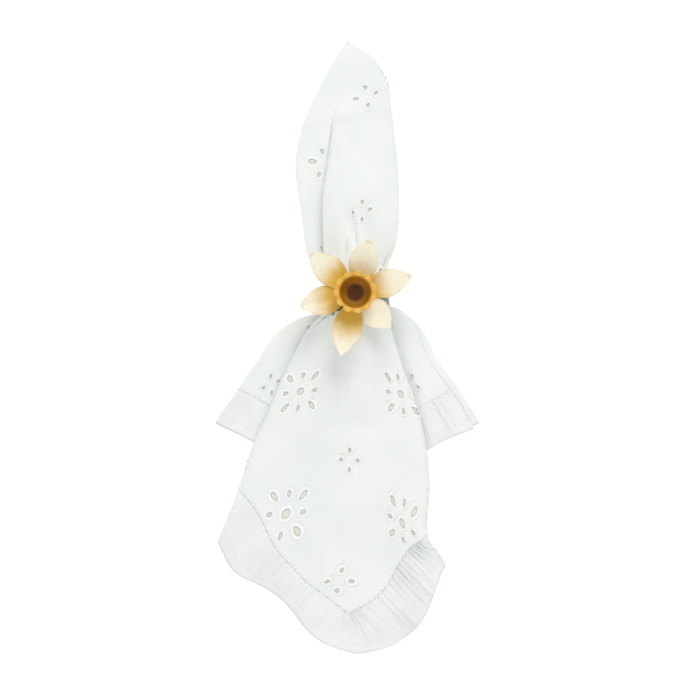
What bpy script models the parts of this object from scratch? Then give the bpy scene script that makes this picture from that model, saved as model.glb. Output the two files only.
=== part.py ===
"""A ruffled eyelet napkin folded in quarters and drawn through a flower napkin ring.

Frame: metres, +Z up, lying on the table at z = 0.  +Y runs from the loose corners
towards the folded centre of the napkin.  Every size below is in millimetres.
"""

import math
from collections import namedtuple

import bmesh
import bpy
import numpy as np
from mathutils import Matrix, Vector

MM = 0.001

# The napkin, laid out flat
PANEL_HALF = 229.0  # half the side of the square eyelet panel
RUFFLE_WIDTH = 25.0
SEAM_GAP = 0.35  # between the panel's edge and the ruffle sewn to it
FLOUNCE_HEIGHT = 2.2  # of the ruffle's waves at the loose corners
FLOUNCE_WAVES = 63.0  # turns of the wave in one radian round the napkin's centre
FLOUNCE_DRIFT = 0.7  # how far, in radians, the waves wander from even spacing
FLOUNCE_DRIFT_WAVES = 17.0
FREE_HEM_FROM = 31.5  # degrees round the napkin's centre, between which the hem lies uncovered
FREE_HEM_TO = 55.5
FREE_HEM_EASE = 3.0
RUFFLE_COLUMNS_AT = 243.0  # distance from the napkin's centre at which the mesh's columns are set out
CORNER_ANGLES = (42.6, 43.6, 44.3, 45.7, 46.4, 47.4)  # extra columns round the panel's corner

# The folded stack: a front and a back leaf, each of two plies pressed together
LEAF_THICK = 1.0
LEAF_GAP = 0.3
PLEAT_RADIUS = 1.85  # of the middle of the stack where a pleat turns
TABLE = LEAF_GAP / 2 + LEAF_THICK  # height of the stack's middle where it lies on the table
FIRST_FOLD = TABLE + PLEAT_RADIUS  # of a fold line whose lower layer lies on the table
SECOND_FOLD = TABLE + 3 * PLEAT_RADIUS  # of a fold line one layer further up

# The ring
RING_CENTRE = Vector((4.6, 30.6, 19.0))
RING_OUTER = 19.0
RING_WALL = 1.0
RING_WIDTH = 9.5
RING_TURN = math.radians(3.0)

# The flower on the ring
METAL = 0.8
FLOWER_GAP = 0.3
WHORL_GAP = 0.45
HUB_RADIUS = 8.6
CUP_HEIGHT = 13.0
CUP_FOOT = 7.0
CUP_MOUTH = 9.4
TOOTH_COUNT = 11
TOOTH_REACH = 2.6
TOOTH_DROP = 1.0

# Distance from the napkin's centre at which the cloth passes through the ring
RING_REACH = 148.0

# Each fold line of the stack runs from the napkin's centre, through the ring, to the hem.
# angle: degrees round the napkin's centre from its left folded edge
# rise: +1 where the next layer to the right lies above, -1 where it lies below, 0 at an edge
# nose: which way the turn of the cloth points, +1 right and -1 left
# spire: points between the centre and the ring; skirt: points between the ring and the seam
FoldLine = namedtuple("FoldLine", "name angle rise nose spire ring skirt seam hem")

CENTRE = (0.2, 174.9, TABLE)

FOLD_LINES = (
    FoldLine(
        "left edge", 0.0, 0, 0,
        ((-15.3, 147.8, TABLE), (-21.8, 133.3, TABLE), (-28.3, 108.0, 1.3), (-24.8, 76.0, 2.4),
         (-20.5, 52.0, 4.4), (-13.5, 41.0, 6.4), (-7.0, 35.5, 7.0)),
        (-4.6, 29.6, 7.0),
        ((-4.6, 23.5, 6.6), (-11.5, 19.6, 3.8), (-23.4, 17.6, TABLE), (-38.4, 9.0, TABLE),
         (-50.0, -7.2, TABLE)),
        (-61.3, -23.7, TABLE),
        (-74.7, -43.5, TABLE),
    ),
    FoldLine(
        "left under fold", 20.0, 1, 1,
        ((-5.0, 145.4, TABLE), (-6.6, 131.0, 1.6), (-5.4, 112.0, 3.6), (-4.6, 90.0, 6.6), (-1.0, 48.0, 10.5)),
        (1.2, 30.5, 10.2),
        ((-1.0, 8.0, 4.4), (-5.5, -24.0, FIRST_FOLD)),
        (-8.5, -61.0, FIRST_FOLD),
        (-10.5, -87.0, FIRST_FOLD),
    ),
    FoldLine(
        "left lap", 30.0, 1, -1,
        ((-3.6, 144.8, TABLE), (-7.4, 130.0, 2.4), (-9.2, 113.0, 6.4), (-12.4, 88.0, 11.6),
         (-11.8, 52.0, 17.0), (-10.6, 36.0, 18.6)),
        (-9.8, 28.6, 18.8),
        ((-10.6, 21.5, 17.4), (-18.7, 13.0, 13.4), (-32.9, -11.3, 8.0), (-44.5, -37.1, SECOND_FOLD),
         (-52.6, -54.9, SECOND_FOLD)),
        (-60.5, -80.0, 5.4),
        (-71.5, -108.0, FIRST_FOLD),
    ),
    FoldLine(
        "middle", 45.0, 0, 0,
        ((10.5, 145.0, TABLE), (12.0, 116.0, 5.4), (11.5, 96.5, 11.5), (10.0, 68.0, 22.0), (8.0, 50.0, 29.0)),
        (5.0, 31.2, 33.2),
        ((4.6, 12.5, 29.0), (4.4, -10.0, 19.5), (4.0, -35.0, 12.5), (3.6, -60.0, 9.6), (3.2, -95.0, 8.0),
         (2.8, -122.0, 4.0)),
        (2.5, -148.0, 1.7),
        (5.0, -183.0, TABLE),
    ),
    FoldLine(
        "right lap", 57.0, -1, 1,
        ((15.6, 162.4, TABLE), (20.2, 157.0, 1.3), (24.2, 137.0, 3.0), (26.6, 117.0, 3.8), (28.4, 92.0, 8.0),
         (26.2, 58.0, 14.5), (20.2, 42.0, 17.6)),
        (19.0, 33.8, 18.4),
        ((19.2, 26.5, 18.0), (23.6, 11.0, 14.0), (31.0, -12.0, 8.6), (41.2, -41.8, SECOND_FOLD),
         (46.2, -75.1, SECOND_FOLD)),
        (46.7, -97.9, 4.8),
        (54.5, -123.0, FIRST_FOLD),
    ),
    FoldLine(
        "right under fold", 71.0, -1, -1,
        ((16.2, 163.0, TABLE), (20.4, 156.0, TABLE), (19.4, 140.0, TABLE), (16.7, 122.0, 1.4),
         (12.5, 100.0, 3.2), (7.5, 76.0, 6.6), (6.8, 50.0, 9.6)),
        (8.9, 32.0, 10.2),
        ((8.0, 8.0, 4.4), (6.5, -24.0, FIRST_FOLD)),
        (5.0, -61.0, FIRST_FOLD),
        (4.5, -86.0, FIRST_FOLD),
    ),
    FoldLine(
        "right edge", 90.0, 0, 0,
        ((16.6, 163.2, TABLE), (20.4, 157.0, TABLE), (12.8, 145.0, TABLE), (3.0, 129.0, TABLE),
         (-1.0, 104.0, TABLE), (7.0, 82.0, 1.4), (13.2, 56.0, 4.0),
         (14.0, 39.5, 6.6)),
        (13.2, 32.8, 7.0),
        ((13.6, 26.0, 6.6), (20.5, 24.0, 3.6), (29.0, 22.6, TABLE), (35.6, 16.6, TABLE), (47.0, -8.4, TABLE)),
        (58.7, -24.5, TABLE),
        (72.4, -46.5, TABLE),
    ),
)

# The right turn starts beside the right edge at the tip and works its way in: reach, degrees
RIGHT_TURN_ANGLES = ((0.0, 84.0), (25.0, 84.0), (33.0, 71.0), (41.0, 65.0), (60.0, 60.0), (80.0, 57.0))
# The two left folds start as one dart and draw apart: reach, degrees of the under fold and of the lap
LEFT_TURN_ANGLES = ((44.0, 24.4, 25.6), (60.0, 22.5, 27.5), (90.0, 20.0, 30.0))
UNDER_SHARE = 0.42  # the right under fold's place between the right lap and the right edge

# Between the last straight row of the panel's mesh and its square edge, on average
EDGE_DEPTH = 40.0
EDGE_SHARES = (0.25, 0.5, 0.75, 1.0)

# Rows of the panel's mesh, as distances from the napkin's centre
PANEL_ROWS = (
    2.0, 16.0, 26.0, 34.0, 44.0, 56.0, 70.0, 86.0, 102.0, 118.0, 130.0, 140.0, 147.0, 154.0, 161.0, 170.0,
    184.0, 203.0,
)

# Reach at which each fold opens out flat, and over what distance
LEFT_FOLDS_START = (44.0, 26.0)
RIGHT_LAP_START = (25.0, 14.0)
RIGHT_UNDER_START = (66.0, 26.0)

# The back leaf's right edge stands out past the front one on the skirt
BACK_SHIFT = 4.4
BACK_SHIFT_START = (172.0, 30.0)
BACK_SHIFT_ANGLES = (71.0, 19.0)


# Where the loose skirt is pulled out in plan: place, how far it is pulled, and over what distance
Pull = namedtuple("Pull", "x y right up spread")
PULLS = (
    Pull(-60.0, -116.0, -3.5, -7.0, 17.0),
    Pull(-20.0, -160.0, -1.5, -2.5, 16.0),
    Pull(24.0, -146.0, 7.5, -9.5, 24.0),
    Pull(46.0, -138.0, 2.5, -3.5, 16.0),
)


def pulled(points):
    """Moves points by the skirt's pulls; everything over one spot moves together."""
    moved = points.copy()
    for pull in PULLS:
        square = (points[..., 0] - pull.x) ** 2 + (points[..., 1] - pull.y) ** 2
        share = np.exp(-square / pull.spread**2)
        moved[..., 0] += pull.right * share
        moved[..., 1] += pull.up * share
    return moved


def seam_reach(angle):
    """Distance from the napkin's centre to the panel's edge, at an angle in degrees."""
    off_axis = np.radians(np.minimum(angle, 90.0 - angle))
    return PANEL_HALF / np.cos(off_axis)


def smooth_step(value, start, length):
    """0 before start, 1 after start + length, and an easy curve between."""
    t = np.clip((value - start) / length, 0.0, 1.0)
    return t * t * (3.0 - 2.0 * t)


def hermite(stations, values, at):
    """A smooth curve through values at uneven stations, carried on straight past both ends."""
    slopes = np.gradient(values, stations, axis=0)
    i = np.clip(np.searchsorted(stations, at) - 1, 0, len(stations) - 2)
    span = (stations[i + 1] - stations[i])[..., None]
    t = np.clip((at - stations[i])[..., None] / span, 0.0, 1.0)
    beyond = (at - np.clip(at, stations[0], stations[-1]))[..., None]
    end_slope = np.where(at[..., None] > stations[-1], slopes[-1], slopes[0])
    return (
        (2 * t**3 - 3 * t**2 + 1) * values[i]
        + (t**3 - 2 * t**2 + t) * span * slopes[i]
        + (3 * t**2 - 2 * t**3) * values[i + 1]
        + (t**3 - t**2) * span * slopes[i + 1]
        + beyond * end_slope
    )


class Route:
    """One fold line, with every point given its distance from the napkin's centre."""

    def __init__(self, line):
        self.line = line
        seam = float(seam_reach(line.angle))
        hem = seam + RUFFLE_WIDTH / math.cos(math.radians(min(line.angle, 90.0 - line.angle)))
        stretches = (
            (0.0, RING_REACH, (CENTRE,) + line.spire + (line.ring,)),
            (RING_REACH, seam, (line.ring,) + line.skirt + (line.seam,)),
            (seam, hem, (line.seam, line.hem)),
        )
        stations, points = [0.0], [CENTRE]
        for first, last, route in stretches:
            along = np.cumsum([math.dist(a, b) for a, b in zip(route, route[1:])])
            stations += list(first + along / along[-1] * (last - first))
            points += list(route[1:])
        self.stations = np.array(stations)
        self.points = np.array(points)

    def at(self, reach):
        return hermite(self.stations, self.points, reach)

    def inward(self, reach):
        """Unit vector in plan, square to the line, away from its nose."""
        ahead = (self.at(reach + 1.0) - self.at(reach - 1.0))[..., :2]
        ahead /= np.linalg.norm(ahead, axis=-1, keepdims=True)
        across = np.stack([ahead[..., 1], -ahead[..., 0], np.zeros_like(ahead[..., 0])], axis=-1)
        return across * self.line.nose

    def angle(self, reach):
        reaches, under_angles, lap_angles = zip(*LEFT_TURN_ANGLES)
        if self.line.name == "left under fold":
            return np.interp(reach, reaches, under_angles)
        if self.line.name == "left lap":
            return np.interp(reach, reaches, lap_angles)
        if self.line.name == "right lap":
            return right_turn_angle(reach)
        if self.line.name == "right under fold":
            lap = right_turn_angle(reach)
            return lap + UNDER_SHARE * (90.0 - lap)
        return np.full_like(reach, self.line.angle)

    def radius(self, reach):
        start = {
            "left under fold": LEFT_FOLDS_START,
            "left lap": LEFT_FOLDS_START,
            "right lap": RIGHT_LAP_START,
            "right under fold": RIGHT_UNDER_START,
        }.get(self.line.name)
        if start is None:
            return np.zeros_like(reach)
        return PLEAT_RADIUS * smooth_step(reach, *start)


def right_turn_angle(reach):
    reaches, angles = zip(*RIGHT_TURN_ANGLES)
    return np.interp(reach, reaches, angles)


ROUTES = [Route(line) for line in FOLD_LINES]


def turn_point(route, reach, offset):
    """A point on a pleat's turn, offset mm of cloth to the right of its fold line."""
    radius = np.maximum(route.radius(reach), 1e-6)
    swing = np.clip(offset / radius, -math.pi / 2, math.pi / 2)
    point = route.at(reach) + route.inward(reach) * (radius * (1.0 - np.cos(swing)))[..., None]
    point[..., 2] += route.line.rise * radius * np.sin(swing)
    return point


def lay(reach, angle):
    """Where the middle of the folded stack lies: reach in mm, angle in degrees, as arrays."""
    reach, angle = np.broadcast_arrays(np.asarray(reach, float), np.asarray(angle, float))
    arc = np.maximum(reach, 1.0)
    lines = [route.angle(reach) for route in ROUTES]
    halves = [np.degrees(route.radius(reach) * math.pi / 2 / arc) for route in ROUTES]
    result = np.zeros(reach.shape + (3,))

    for a in range(len(ROUTES) - 1):
        b = a + 1
        start, end = lines[a] + halves[a], lines[b] - halves[b]
        share = np.clip((angle - start) / np.maximum(end - start, 1e-6), 0.0, 1.0)[..., None]
        first = turn_point(ROUTES[a], reach, np.radians(halves[a]) * arc)
        last = turn_point(ROUTES[b], reach, -np.radians(halves[b]) * arc)
        flat = first + (last - first) * share
        inside = (angle >= lines[a]) & (angle <= lines[b])
        result = np.where(inside[..., None], flat, result)

    # The panel between the laps is one curve through the middle line
    lap_l, middle, lap_r = ROUTES[2], ROUTES[3], ROUTES[4]
    t0, t1, t2 = lines[2] + halves[2], lines[3], lines[4] - halves[4]
    p0 = turn_point(lap_l, reach, np.radians(halves[2]) * arc)
    p1 = middle.at(reach)
    p2 = turn_point(lap_r, reach, -np.radians(halves[4]) * arc)
    t = np.clip(angle, t0, t2)
    curve = (
        p0 * ((t - t1) * (t - t2) / ((t0 - t1) * (t0 - t2)))[..., None]
        + p1 * ((t - t0) * (t - t2) / ((t1 - t0) * (t1 - t2)))[..., None]
        + p2 * ((t - t0) * (t - t1) / ((t2 - t0) * (t2 - t1)))[..., None]
    )
    inside = (angle >= lines[2]) & (angle <= lines[4])
    result = np.where(inside[..., None], curve, result)

    for k in (1, 2, 4, 5):
        offset = np.radians(angle - lines[k]) * arc
        turning = np.abs(angle - lines[k]) <= halves[k]
        result = np.where(turning[..., None], turn_point(ROUTES[k], reach, offset), result)
    return pulled(result)


def lay_with_normal(reach, angle):
    """The stack's middle and its upward normal, where up is the side of the front leaf."""
    reach_step, arc_step = 0.4, 0.25
    angle_step = np.degrees(arc_step / np.maximum(reach, 1.0))
    angle_in = np.clip(angle, angle_step, 90.0 - angle_step)
    along = lay(reach + reach_step, angle_in) - lay(reach - reach_step, angle_in)
    across = lay(reach, angle_in + angle_step) - lay(reach, angle_in - angle_step)
    normal = np.cross(along, across)
    normal /= np.linalg.norm(normal, axis=-1, keepdims=True)
    across /= np.linalg.norm(across, axis=-1, keepdims=True)
    return lay(reach, angle), normal, across


def column_angles(reach):
    """Angles of the mesh's columns at each reach: close together on the turns, wide on the flats."""
    arc = np.maximum(reach, 60.0)
    turn = PLEAT_RADIUS * math.pi / 2 + 0.3
    columns = []
    flat_cuts = (3, 2, 8, 8, 2, 3)
    for k, route in enumerate(ROUTES):
        here = route.angle(reach)
        half = np.degrees(turn / arc) if route.line.rise else np.zeros_like(reach)
        if route.line.rise:
            columns += [here + half * share for share in (-1.0, -0.5, 0.0, 0.5, 1.0)]
        else:
            columns.append(here)
        if k < len(flat_cuts):
            follower = ROUTES[k + 1]
            next_half = np.degrees(turn / arc) if follower.line.rise else np.zeros_like(reach)
            first, last = here + half, follower.angle(reach) - next_half
            cuts = flat_cuts[k]
            columns += [first + (last - first) * i / cuts for i in range(1, cuts)]
    columns = np.sort(np.stack(columns, axis=-1), axis=-1)
    return columns


def flounce(angle, out):
    """Height that the gathered ruffle waves up by, growing towards its hem."""
    turn = np.radians(angle)
    wave = 0.5 + 0.5 * np.sin(turn * FLOUNCE_WAVES + FLOUNCE_DRIFT * np.sin(turn * FLOUNCE_DRIFT_WAVES))
    loose = smooth_step(angle, FREE_HEM_FROM, FREE_HEM_EASE)
    loose = loose * smooth_step(-angle, -FREE_HEM_TO, FREE_HEM_EASE)
    return FLOUNCE_HEIGHT * wave * loose * smooth_step(out, 0.0, RUFFLE_WIDTH)


def leaf_points(reach, angle, front):
    """Outer and inner faces of the front or the back leaf."""
    middle, normal, across = lay_with_normal(reach, angle)
    middle[..., 2] += flounce(angle, reach - seam_reach(angle))
    inner = LEAF_GAP / 2
    outer = inner + LEAF_THICK
    side = 1.0 if front else -1.0
    if not front:
        share = smooth_step(angle, *BACK_SHIFT_ANGLES) * smooth_step(reach, *BACK_SHIFT_START)
        middle = middle + across * (BACK_SHIFT * share)[..., None]
    return middle + normal * side * outer, middle + normal * side * inner


def edge_points(reach):
    """Outer and inner faces where the two leaves join at the napkin's left edge."""
    angle = np.zeros_like(reach)
    middle, _, across = lay_with_normal(reach, angle)
    inner = LEAF_GAP / 2
    outer = inner + LEAF_THICK
    return middle - across * outer, middle - across * inner


def cut_cell(mesh, a, b, c, d, through_a):
    """Two triangles of one cell.  Facing cells of the two leaves are cut along the same diagonal."""
    if through_a:
        mesh.faces.new((a, b, c))
        mesh.faces.new((a, c, d))
    else:
        mesh.faces.new((a, b, d))
        mesh.faces.new((b, c, d))


def stack_mesh(name, reach_rows, angle_rows):
    """One closed sheet: the front leaf, round the left edge, and the back leaf."""
    front = leaf_points(reach_rows, angle_rows, True)
    back = leaf_points(reach_rows, angle_rows, False)
    edge = edge_points(reach_rows[:, :1])
    faces_out = np.concatenate([back[0][:, ::-1], edge[0], front[0]], axis=1)
    faces_in = np.concatenate([back[1][:, ::-1], edge[1], front[1]], axis=1)
    faces_out[..., 2] = np.maximum(faces_out[..., 2], 0.0)
    faces_in[..., 2] = np.maximum(faces_in[..., 2], LEAF_THICK)
    rows, columns = faces_out.shape[:2]

    mesh = bmesh.new()
    outer = [[mesh.verts.new(Vector(p) * MM) for p in row] for row in faces_out]
    inner = [[mesh.verts.new(Vector(p) * MM) for p in row] for row in faces_in]
    for i in range(rows - 1):
        for j in range(columns - 1):
            on_back = j < back[0].shape[1]
            cut_cell(mesh, outer[i][j], outer[i + 1][j], outer[i + 1][j + 1], outer[i][j + 1], on_back)
            cut_cell(mesh, inner[i + 1][j], inner[i][j], inner[i][j + 1], inner[i + 1][j + 1], not on_back)
        for j in (0, columns - 1):
            mesh.faces.new((outer[i][j], inner[i][j], inner[i + 1][j], outer[i + 1][j]))
    for j in range(columns - 1):
        for i in (0, rows - 1):
            mesh.faces.new((outer[i][j], outer[i][j + 1], inner[i][j + 1], inner[i][j]))
    return finish(name, mesh)


def finish(name, mesh, sharp=math.radians(50.0)):
    """Makes an object of a bmesh, with its faces pointing out and round stretches shaded smooth."""
    bmesh.ops.recalc_face_normals(mesh, faces=mesh.faces)
    data = bpy.data.meshes.new(name)
    mesh.to_mesh(data)
    mesh.free()
    data.shade_smooth()
    data.set_sharp_from_angle(angle=sharp)
    made = bpy.data.objects.new(name, data)
    bpy.context.scene.collection.objects.link(made)
    return made


def paint(thing, name, colour, roughness, metallic):
    material = bpy.data.materials.new(name)
    material.use_nodes = True
    shader = material.node_tree.nodes["Principled BSDF"]
    shader.inputs["Base Color"].default_value = (*colour, 1.0)
    shader.inputs["Roughness"].default_value = roughness
    shader.inputs["Metallic"].default_value = metallic
    thing.data.materials.append(material)


def make_panel():
    straight = np.array(PANEL_ROWS)
    reach_rows, angle_rows = [], []
    for reach in straight:
        angles = column_angles(np.array([reach]))[0]
        angle_rows.append(angles)
        reach_rows.append(np.full_like(angles, reach))
    for share in EDGE_SHARES:
        angles = column_angles(np.array([straight[-1] + share * EDGE_DEPTH]))[0]
        angle_rows.append(angles)
        reach_rows.append(straight[-1] + share * (seam_reach(angles) - straight[-1]))
    panel = stack_mesh("napkin_panel", np.array(reach_rows), np.array(angle_rows))
    paint(panel, "eyelet cotton", (0.87, 0.89, 0.88), 0.85, 0.0)


def ruffle_reach(angle, out):
    """Distance from the napkin's centre to out mm past the seam, rounded past the panel's corner."""
    slant = np.radians(np.minimum(angle, 90.0 - angle))
    straight = (PANEL_HALF + out) / np.cos(slant)
    both = np.cos(slant) + np.sin(slant)
    rounded = PANEL_HALF * both + np.sqrt(np.maximum(out**2 - PANEL_HALF**2 * (2.0 - both**2), 0.0))
    return np.where(straight * np.sin(slant) > PANEL_HALF, rounded, straight)


def make_ruffle():
    angles = np.sort(np.concatenate([column_angles(np.array([RUFFLE_COLUMNS_AT]))[0], CORNER_ANGLES]))
    outs = (SEAM_GAP, 8.0, 16.0, RUFFLE_WIDTH)
    reach_rows = np.array([ruffle_reach(angles, out) for out in outs])
    angle_rows = np.array([angles for _ in outs])
    ruffle = stack_mesh("napkin_ruffle", reach_rows, angle_rows)
    paint(ruffle, "ruffle cotton", (0.87, 0.88, 0.86), 0.85, 0.0)


def ring_frame():
    """Carries +Z of a round piece to the ring's own axis."""
    turn = Matrix.Rotation(RING_TURN, 4, "Z") @ Matrix.Rotation(math.pi / 2, 4, "X")
    return Matrix.Translation(RING_CENTRE * MM) @ turn


def make_ring():
    """A flat band bent into a hoop: a spun section with its edges eased."""
    mesh = bmesh.new()
    half = RING_WIDTH / 2
    ease = 0.25
    section = (
        (RING_OUTER, half - ease), (RING_OUTER - ease, half), (RING_OUTER - RING_WALL + ease, half),
        (RING_OUTER - RING_WALL, half - ease), (RING_OUTER - RING_WALL, ease - half),
        (RING_OUTER - RING_WALL + ease, -half), (RING_OUTER - ease, -half), (RING_OUTER, ease - half),
    )
    loop = [mesh.verts.new((x * MM, 0.0, z * MM)) for x, z in section]
    edges = [mesh.edges.new((loop[i - 1], loop[i])) for i in range(len(loop))]
    bmesh.ops.spin(
        mesh, geom=loop + edges, axis=(0, 0, 1), cent=(0, 0, 0), angle=2 * math.pi, steps=48,
        use_duplicate=False
    )
    bmesh.ops.remove_doubles(mesh, verts=mesh.verts, dist=0.00001)
    bmesh.ops.transform(mesh, matrix=ring_frame(), verts=mesh.verts)
    ring = finish("ring_band", mesh)
    paint(ring, "green enamel", (0.05, 0.13, 0.07), 0.35, 0.3)


# The petals: direction in degrees, length to the tip, widest half-width, and how far the tip lifts
Petal = namedtuple("Petal", "name direction length half_width lift")
UPPER_PETALS = (
    Petal("left upper", 139.5, 33.4, 8.2, 5.0),
    Petal("right", 16.3, 32.5, 8.0, 4.0),
    Petal("bottom", 257.2, 35.6, 8.3, 3.0),
)
LOWER_PETALS = (
    Petal("top", 74.4, 30.4, 8.2, 5.0),
    Petal("right lower", 315.0, 27.8, 8.2, 2.0),
    Petal("left", 193.9, 31.7, 8.2, 4.0),
)
# A petal's outline: share of its length, share of its half-width
PETAL_OUTLINE = ((0.30, 0.74), (0.48, 0.97), (0.58, 1.0), (0.68, 0.92), (0.78, 0.72), (0.89, 0.38))


def petal_height(petal, along, across):
    """How far a petal's sheet stands over its hub: it rises outwards and is cupped across."""
    out = max(0.0, along - HUB_RADIUS) / (petal.length - HUB_RADIUS)
    cup = 1.3 * (across / petal.half_width) ** 2 * min(1.0, 3.0 * out) * (1.0 - 0.6 * out)
    return petal.lift * out**1.2 + cup


def make_whorl(name, petals, height, colour):
    """Three petals stamped from one sheet, with a round hub between them."""
    outline = []
    for petal in sorted(petals, key=lambda p: p.direction):
        side = [(share * petal.length, width * petal.half_width) for share, width in PETAL_OUTLINE]
        run = [(x, -y) for x, y in side] + [(petal.length, 0.0)] + [(x, y) for x, y in reversed(side)]
        outline += [(petal, x, y) for x, y in run]
        following = petals_after(petals, petal)
        gap = (following.direction - petal.direction) % 360.0
        for share in (0.4, 0.6):
            turn = math.radians(gap * share)
            outline.append((petal, HUB_RADIUS * math.cos(turn), HUB_RADIUS * math.sin(turn)))

    mesh = bmesh.new()
    hub = mesh.verts.new((0.0, 0.0, 0.0))
    rings = []
    for share in (0.3, 0.5, 0.75, 1.0):
        ring = []
        for petal, x, y in outline:
            rise = petal_height(petal, x * share, y * share)
            turn = Matrix.Rotation(math.radians(petal.direction), 3, "Z")
            flat = turn @ Vector((x * share, y * share, 0.0))
            ring.append(mesh.verts.new(Vector((flat.x, flat.y, rise)) * MM))
        rings.append(ring)
    count = len(outline)
    for i in range(count):
        mesh.faces.new((hub, rings[0][i], rings[0][(i + 1) % count]))
        for low, high in zip(rings, rings[1:]):
            mesh.faces.new((low[i], high[i], high[(i + 1) % count], low[(i + 1) % count]))
    place = Vector((RING_CENTRE.x, RING_CENTRE.y, height)) * MM
    bmesh.ops.translate(mesh, vec=place, verts=mesh.verts)
    whorl = finish(name, mesh)
    solidify = whorl.modifiers.new("sheet metal", "SOLIDIFY")
    solidify.thickness = METAL * MM
    solidify.offset = 0.0
    paint(whorl, name.replace("_", " "), colour, 0.45, 0.1)


def petals_after(petals, petal):
    ordered = sorted(petals, key=lambda p: p.direction)
    return ordered[(ordered.index(petal) + 1) % len(ordered)]


def make_cup(height):
    """The flower's trumpet: a spun cup whose rim is cut into flaring teeth."""
    profile = (
        (2.4, 0.0, 0.0), (CUP_FOOT - 1.2, 0.0, 0.0), (CUP_FOOT, 0.8, 0.0), (CUP_FOOT + 1.0, 4.0, 0.0),
        (CUP_MOUTH - 0.5, CUP_HEIGHT - 4.0, 0.0), (CUP_MOUTH, CUP_HEIGHT - 1.6, 0.15),
        (CUP_MOUTH + 0.7, CUP_HEIGHT - 0.4, 1.0),
    )
    count = TOOTH_COUNT * 4
    mesh = bmesh.new()
    foot = mesh.verts.new((0.0, 0.0, 0.0))
    rings = []
    for radius, z, toothed in profile:
        ring = []
        for i in range(count):
            turn = 2 * math.pi * i / count
            point = abs((i % 4) - 2) / 2.0
            reach = radius + TOOTH_REACH * toothed * (1.0 - point)
            rise = z - TOOTH_DROP * toothed * (1.0 - point)
            ring.append(mesh.verts.new(Vector((reach * math.cos(turn), reach * math.sin(turn), rise)) * MM))
        rings.append(ring)
    for i in range(count):
        mesh.faces.new((foot, rings[0][i], rings[0][(i + 1) % count]))
        for low, high in zip(rings, rings[1:]):
            mesh.faces.new((low[i], high[i], high[(i + 1) % count], low[(i + 1) % count]))
    place = Vector((RING_CENTRE.x, RING_CENTRE.y, height)) * MM
    bmesh.ops.translate(mesh, vec=place, verts=mesh.verts)
    cup = finish("flower_cup", mesh)
    solidify = cup.modifiers.new("sheet metal", "SOLIDIFY")
    solidify.thickness = METAL * MM
    solidify.offset = 0.0
    paint(cup, "trumpet ochre", (0.66, 0.38, 0.03), 0.45, 0.1)


def clear_scene():
    for thing in list(bpy.data.objects):
        bpy.data.objects.remove(thing, do_unlink=True)


clear_scene()
make_panel()
make_ruffle()
make_ring()
ring_top = RING_CENTRE.z + RING_OUTER
lower_height = ring_top + FLOWER_GAP + METAL / 2
upper_height = lower_height + METAL + WHORL_GAP
make_whorl("petals_lower", LOWER_PETALS, lower_height, (0.83, 0.66, 0.30))
make_whorl("petals_upper", UPPER_PETALS, upper_height, (0.84, 0.68, 0.32))
make_cup(upper_height + METAL + FLOWER_GAP)
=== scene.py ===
import math
from collections import namedtuple

import bmesh
import bpy
import numpy as np
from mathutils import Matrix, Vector
from mathutils.geometry import delaunay_2d_cdt


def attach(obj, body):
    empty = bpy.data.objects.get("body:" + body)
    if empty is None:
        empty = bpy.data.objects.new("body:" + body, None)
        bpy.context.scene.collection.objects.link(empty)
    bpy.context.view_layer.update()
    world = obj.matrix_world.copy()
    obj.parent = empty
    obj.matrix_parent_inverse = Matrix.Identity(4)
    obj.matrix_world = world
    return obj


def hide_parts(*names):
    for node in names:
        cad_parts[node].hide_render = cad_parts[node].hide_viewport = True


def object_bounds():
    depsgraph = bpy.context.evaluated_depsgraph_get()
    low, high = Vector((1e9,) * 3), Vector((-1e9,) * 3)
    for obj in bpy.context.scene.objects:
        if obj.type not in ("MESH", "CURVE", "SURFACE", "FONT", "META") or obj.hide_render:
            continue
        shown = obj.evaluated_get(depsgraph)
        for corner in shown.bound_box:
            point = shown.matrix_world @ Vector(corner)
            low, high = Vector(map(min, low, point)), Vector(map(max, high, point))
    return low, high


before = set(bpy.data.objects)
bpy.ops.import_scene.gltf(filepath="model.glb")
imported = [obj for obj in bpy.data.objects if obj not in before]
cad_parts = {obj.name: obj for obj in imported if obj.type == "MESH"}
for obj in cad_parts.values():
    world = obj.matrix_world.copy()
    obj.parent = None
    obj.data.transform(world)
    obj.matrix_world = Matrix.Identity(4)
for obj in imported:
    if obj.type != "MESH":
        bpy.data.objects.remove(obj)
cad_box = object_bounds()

MM = 0.001

# ---------------------------------------------------------------------------
# The napkin's panel: one square of white eyelet cotton, 458 mm across, folded
# in half and in half again.  The four plies are laid in two box pleats and
# pushed up by the ring they pass through.
# ---------------------------------------------------------------------------
PANEL_HALF = 229.0
RUFFLE_WIDTH = 25.0
CLOTH_THICK = 0.3
PLY_OFFSETS = (0.95, 0.32, -0.32, -0.95)  # of each ply's middle from the middle of the stack
TABLE = 1.15  # height of the stack's middle where it lies on the table
PLEAT_RADIUS = 1.85
FIRST_FOLD = TABLE + PLEAT_RADIUS
SECOND_FOLD = TABLE + 3 * PLEAT_RADIUS
RING_REACH = 148.0  # from the napkin's middle to the ring, along the cloth

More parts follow.
